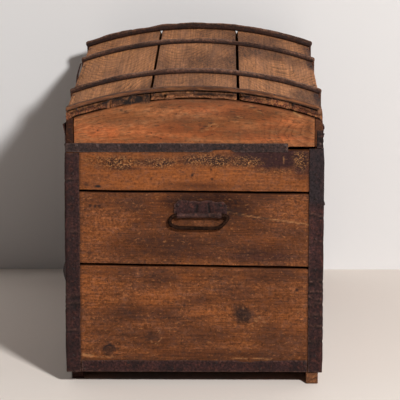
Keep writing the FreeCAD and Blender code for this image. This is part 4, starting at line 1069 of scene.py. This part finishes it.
knuckle = roundBar(-hasp["knuckleHalf"], hasp["knuckleHalf"], hasp["pivotY"], hasp["pivotZ"], hasp["knuckle"])
neckSkin, neckQuads = blockSkin(np.array([-1, 1]) * hasp["knuckleHalf"],
                                np.array([-0.5, 0.5]) * hasp["thick"],
                                np.array([0.0, hasp["notch"] + 0.002]))
neck = np.stack([neckSkin[:, 0], hasp["pivotY"] + neckSkin[:, 2] * sinLean - neckSkin[:, 1],
                 hasp["pivotZ"] + neckSkin[:, 2]], -1)
rubbed = np.concatenate([np.tile(np.abs(across - 0.5) > 0.45, len(turn)) * 0.5,
                         np.full(len(knuckle[0]) + len(neck), 0.3)])
makePiece("hasp", [(leaf.reshape(-1, 3), ringQuads(leaf.shape[:2])), knuckle, (neck, neckQuads)], "hasp",
          iron["wroughtIronRusted"], {"edge": rubbed}, "hasp.leaf")
print("hasp made")

# Fittings whose solids are right already: rust, softened edges and nothing moved
kept = {
    "wroughtIronRusted": ("hinge_strap_right", "hinge_strap_left", "hasp_plate"),
    "wroughtIronBrown": ("hinge_pin_right", "hinge_pin_left", "hasp_pin", "padlock_eye"),
    "wroughtIronSlate": ("case_iron_nails",),
    "nailIronWithPaintedGlint": ("runner_nails", "lid_iron_nails", "lid_board_nails"),
}
softened = {"weld": 0.00001, "bevel": 0.0005}
for finish, nodes in kept.items():
    for node in nodes:
        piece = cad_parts[node]
        for place in piece.material_slots:
            place.material = iron[finish]
        weld = piece.modifiers.new("weld", "WELD")
        weld.merge_threshold = softened["weld"]
        bevel = piece.modifiers.new("bevel", "BEVEL")
        bevel.width = softened["bevel"]
        bevel.segments = 1
        bevel.limit_method = "ANGLE"
print("kept fittings:", sum(len(nodes) for nodes in kept.values()))

# Stage: a pale floor and a plain wall that is clear from behind, so it never hides the trunk
stage = {"wallX": -0.60, "reach": 7.0, "height": 4.0, "floor": "#f2e8df", "wall": "#e5e3e2"}


def addObject(name, data):
    # an object of this data in the scene
    thing = bpy.data.objects.new(name, data)
    bpy.context.scene.collection.objects.link(thing)
    return thing


def stageSheet(name, corners, colourText, clearBehind):
    # one flat sheet between four corners in matte paint, which may be clear on its back
    mesh = bpy.data.meshes.new(name)
    mesh.from_pydata(corners, [], [(0, 1, 2, 3)])
    material, tree = startMaterial(name + "Paint")
    shader = addNode(tree, "BsdfDiffuse", {"Color": linear(colourText)})
    if clearBehind:
        clear = addNode(tree, "BsdfTransparent")
        behind = addNode(tree, "NewGeometry", out="Backfacing")
        shader = addNode(tree, "MixShader", {}, {0: behind, 1: shader, 2: clear})
    addNode(tree, "OutputMaterial", {}, {"Surface": shader}, out=None)
    mesh.materials.append(material)
    return addObject(name, mesh)


reach, wallX, height = stage["reach"], stage["wallX"], stage["height"]
floorCorners = [(-reach, -reach, 0), (reach, -reach, 0), (reach, reach, 0), (-reach, reach, 0)]
wallCorners = [(wallX, -reach, 0), (wallX, reach, 0), (wallX, reach, height), (wallX, -reach, height)]
floor = stageSheet("studioFloor", floorCorners, stage["floor"], False)
wall = stageSheet("studioWall", wallCorners, stage["wall"], True)

light = {"place": (4.3, 1.75, 2.85), "aim": (0.1, 0.0, 0.3), "size": 0.45, "watts": 257.0, "fill": 0.12,
         "backdrop": 0.8, "air": "#f4f2f0"}
lampData = bpy.data.lights.new("softKey", "AREA")
lampData.size = light["size"]
lampData.energy = light["watts"]
lamp = addObject("softKey", lampData)
lamp.location = light["place"]
lamp.rotation_euler = (Vector(light["aim"]) - Vector(light["place"])).to_track_quat("-Z", "Y").to_euler()

# the air fills shadows softly, and is brighter where it is seen, straight or in metal
studioAir = bpy.data.worlds.new("studioAir")
studioAir.use_nodes = True
tree = studioAir.node_tree
tree.nodes.clear()
seen = addNode(tree, "LightPath", out="Is Camera Ray")
for kind in ("Is Glossy Ray", "Is Transmission Ray"):
    other = addNode(tree, "LightPath", out=kind)
    seen = addNode(tree, "Math", {}, {0: seen, 1: other}, operation="MAXIMUM")
strength = addNode(tree, "MapRange", {1: 0.0, 2: 1.0, 3: light["fill"], 4: light["backdrop"]}, {0: seen})
background = addNode(tree, "Background", {"Color": linear(light["air"])}, {"Strength": strength})
addNode(tree, "OutputWorld", {}, {"Surface": background}, out=None)
bpy.context.scene.world = studioAir

view = {"place": (6.055, 0.065, 1.446), "yaw": 0.0096, "pitch": 0.18936, "focalPixels": 2808.0,
        "imagePixels": 400.0, "sensor": 36.0}
cameraData = bpy.data.cameras.new("photoView")
cameraData.sensor_width = view["sensor"]
cameraData.lens = view["focalPixels"] / view["imagePixels"] * view["sensor"]
camera = addObject("photoView", cameraData)
camera.location = view["place"]
level = math.cos(view["pitch"])
forward = Vector((-math.cos(view["yaw"]) * level, -math.sin(view["yaw"]) * level, -math.sin(view["pitch"])))
camera.rotation_euler = forward.to_track_quat("-Z", "Y").to_euler()
bpy.context.scene.camera = camera
bpy.context.scene.view_settings.view_transform = "Standard"
print("stage, light and camera set")

bpy.context.view_layer.update()
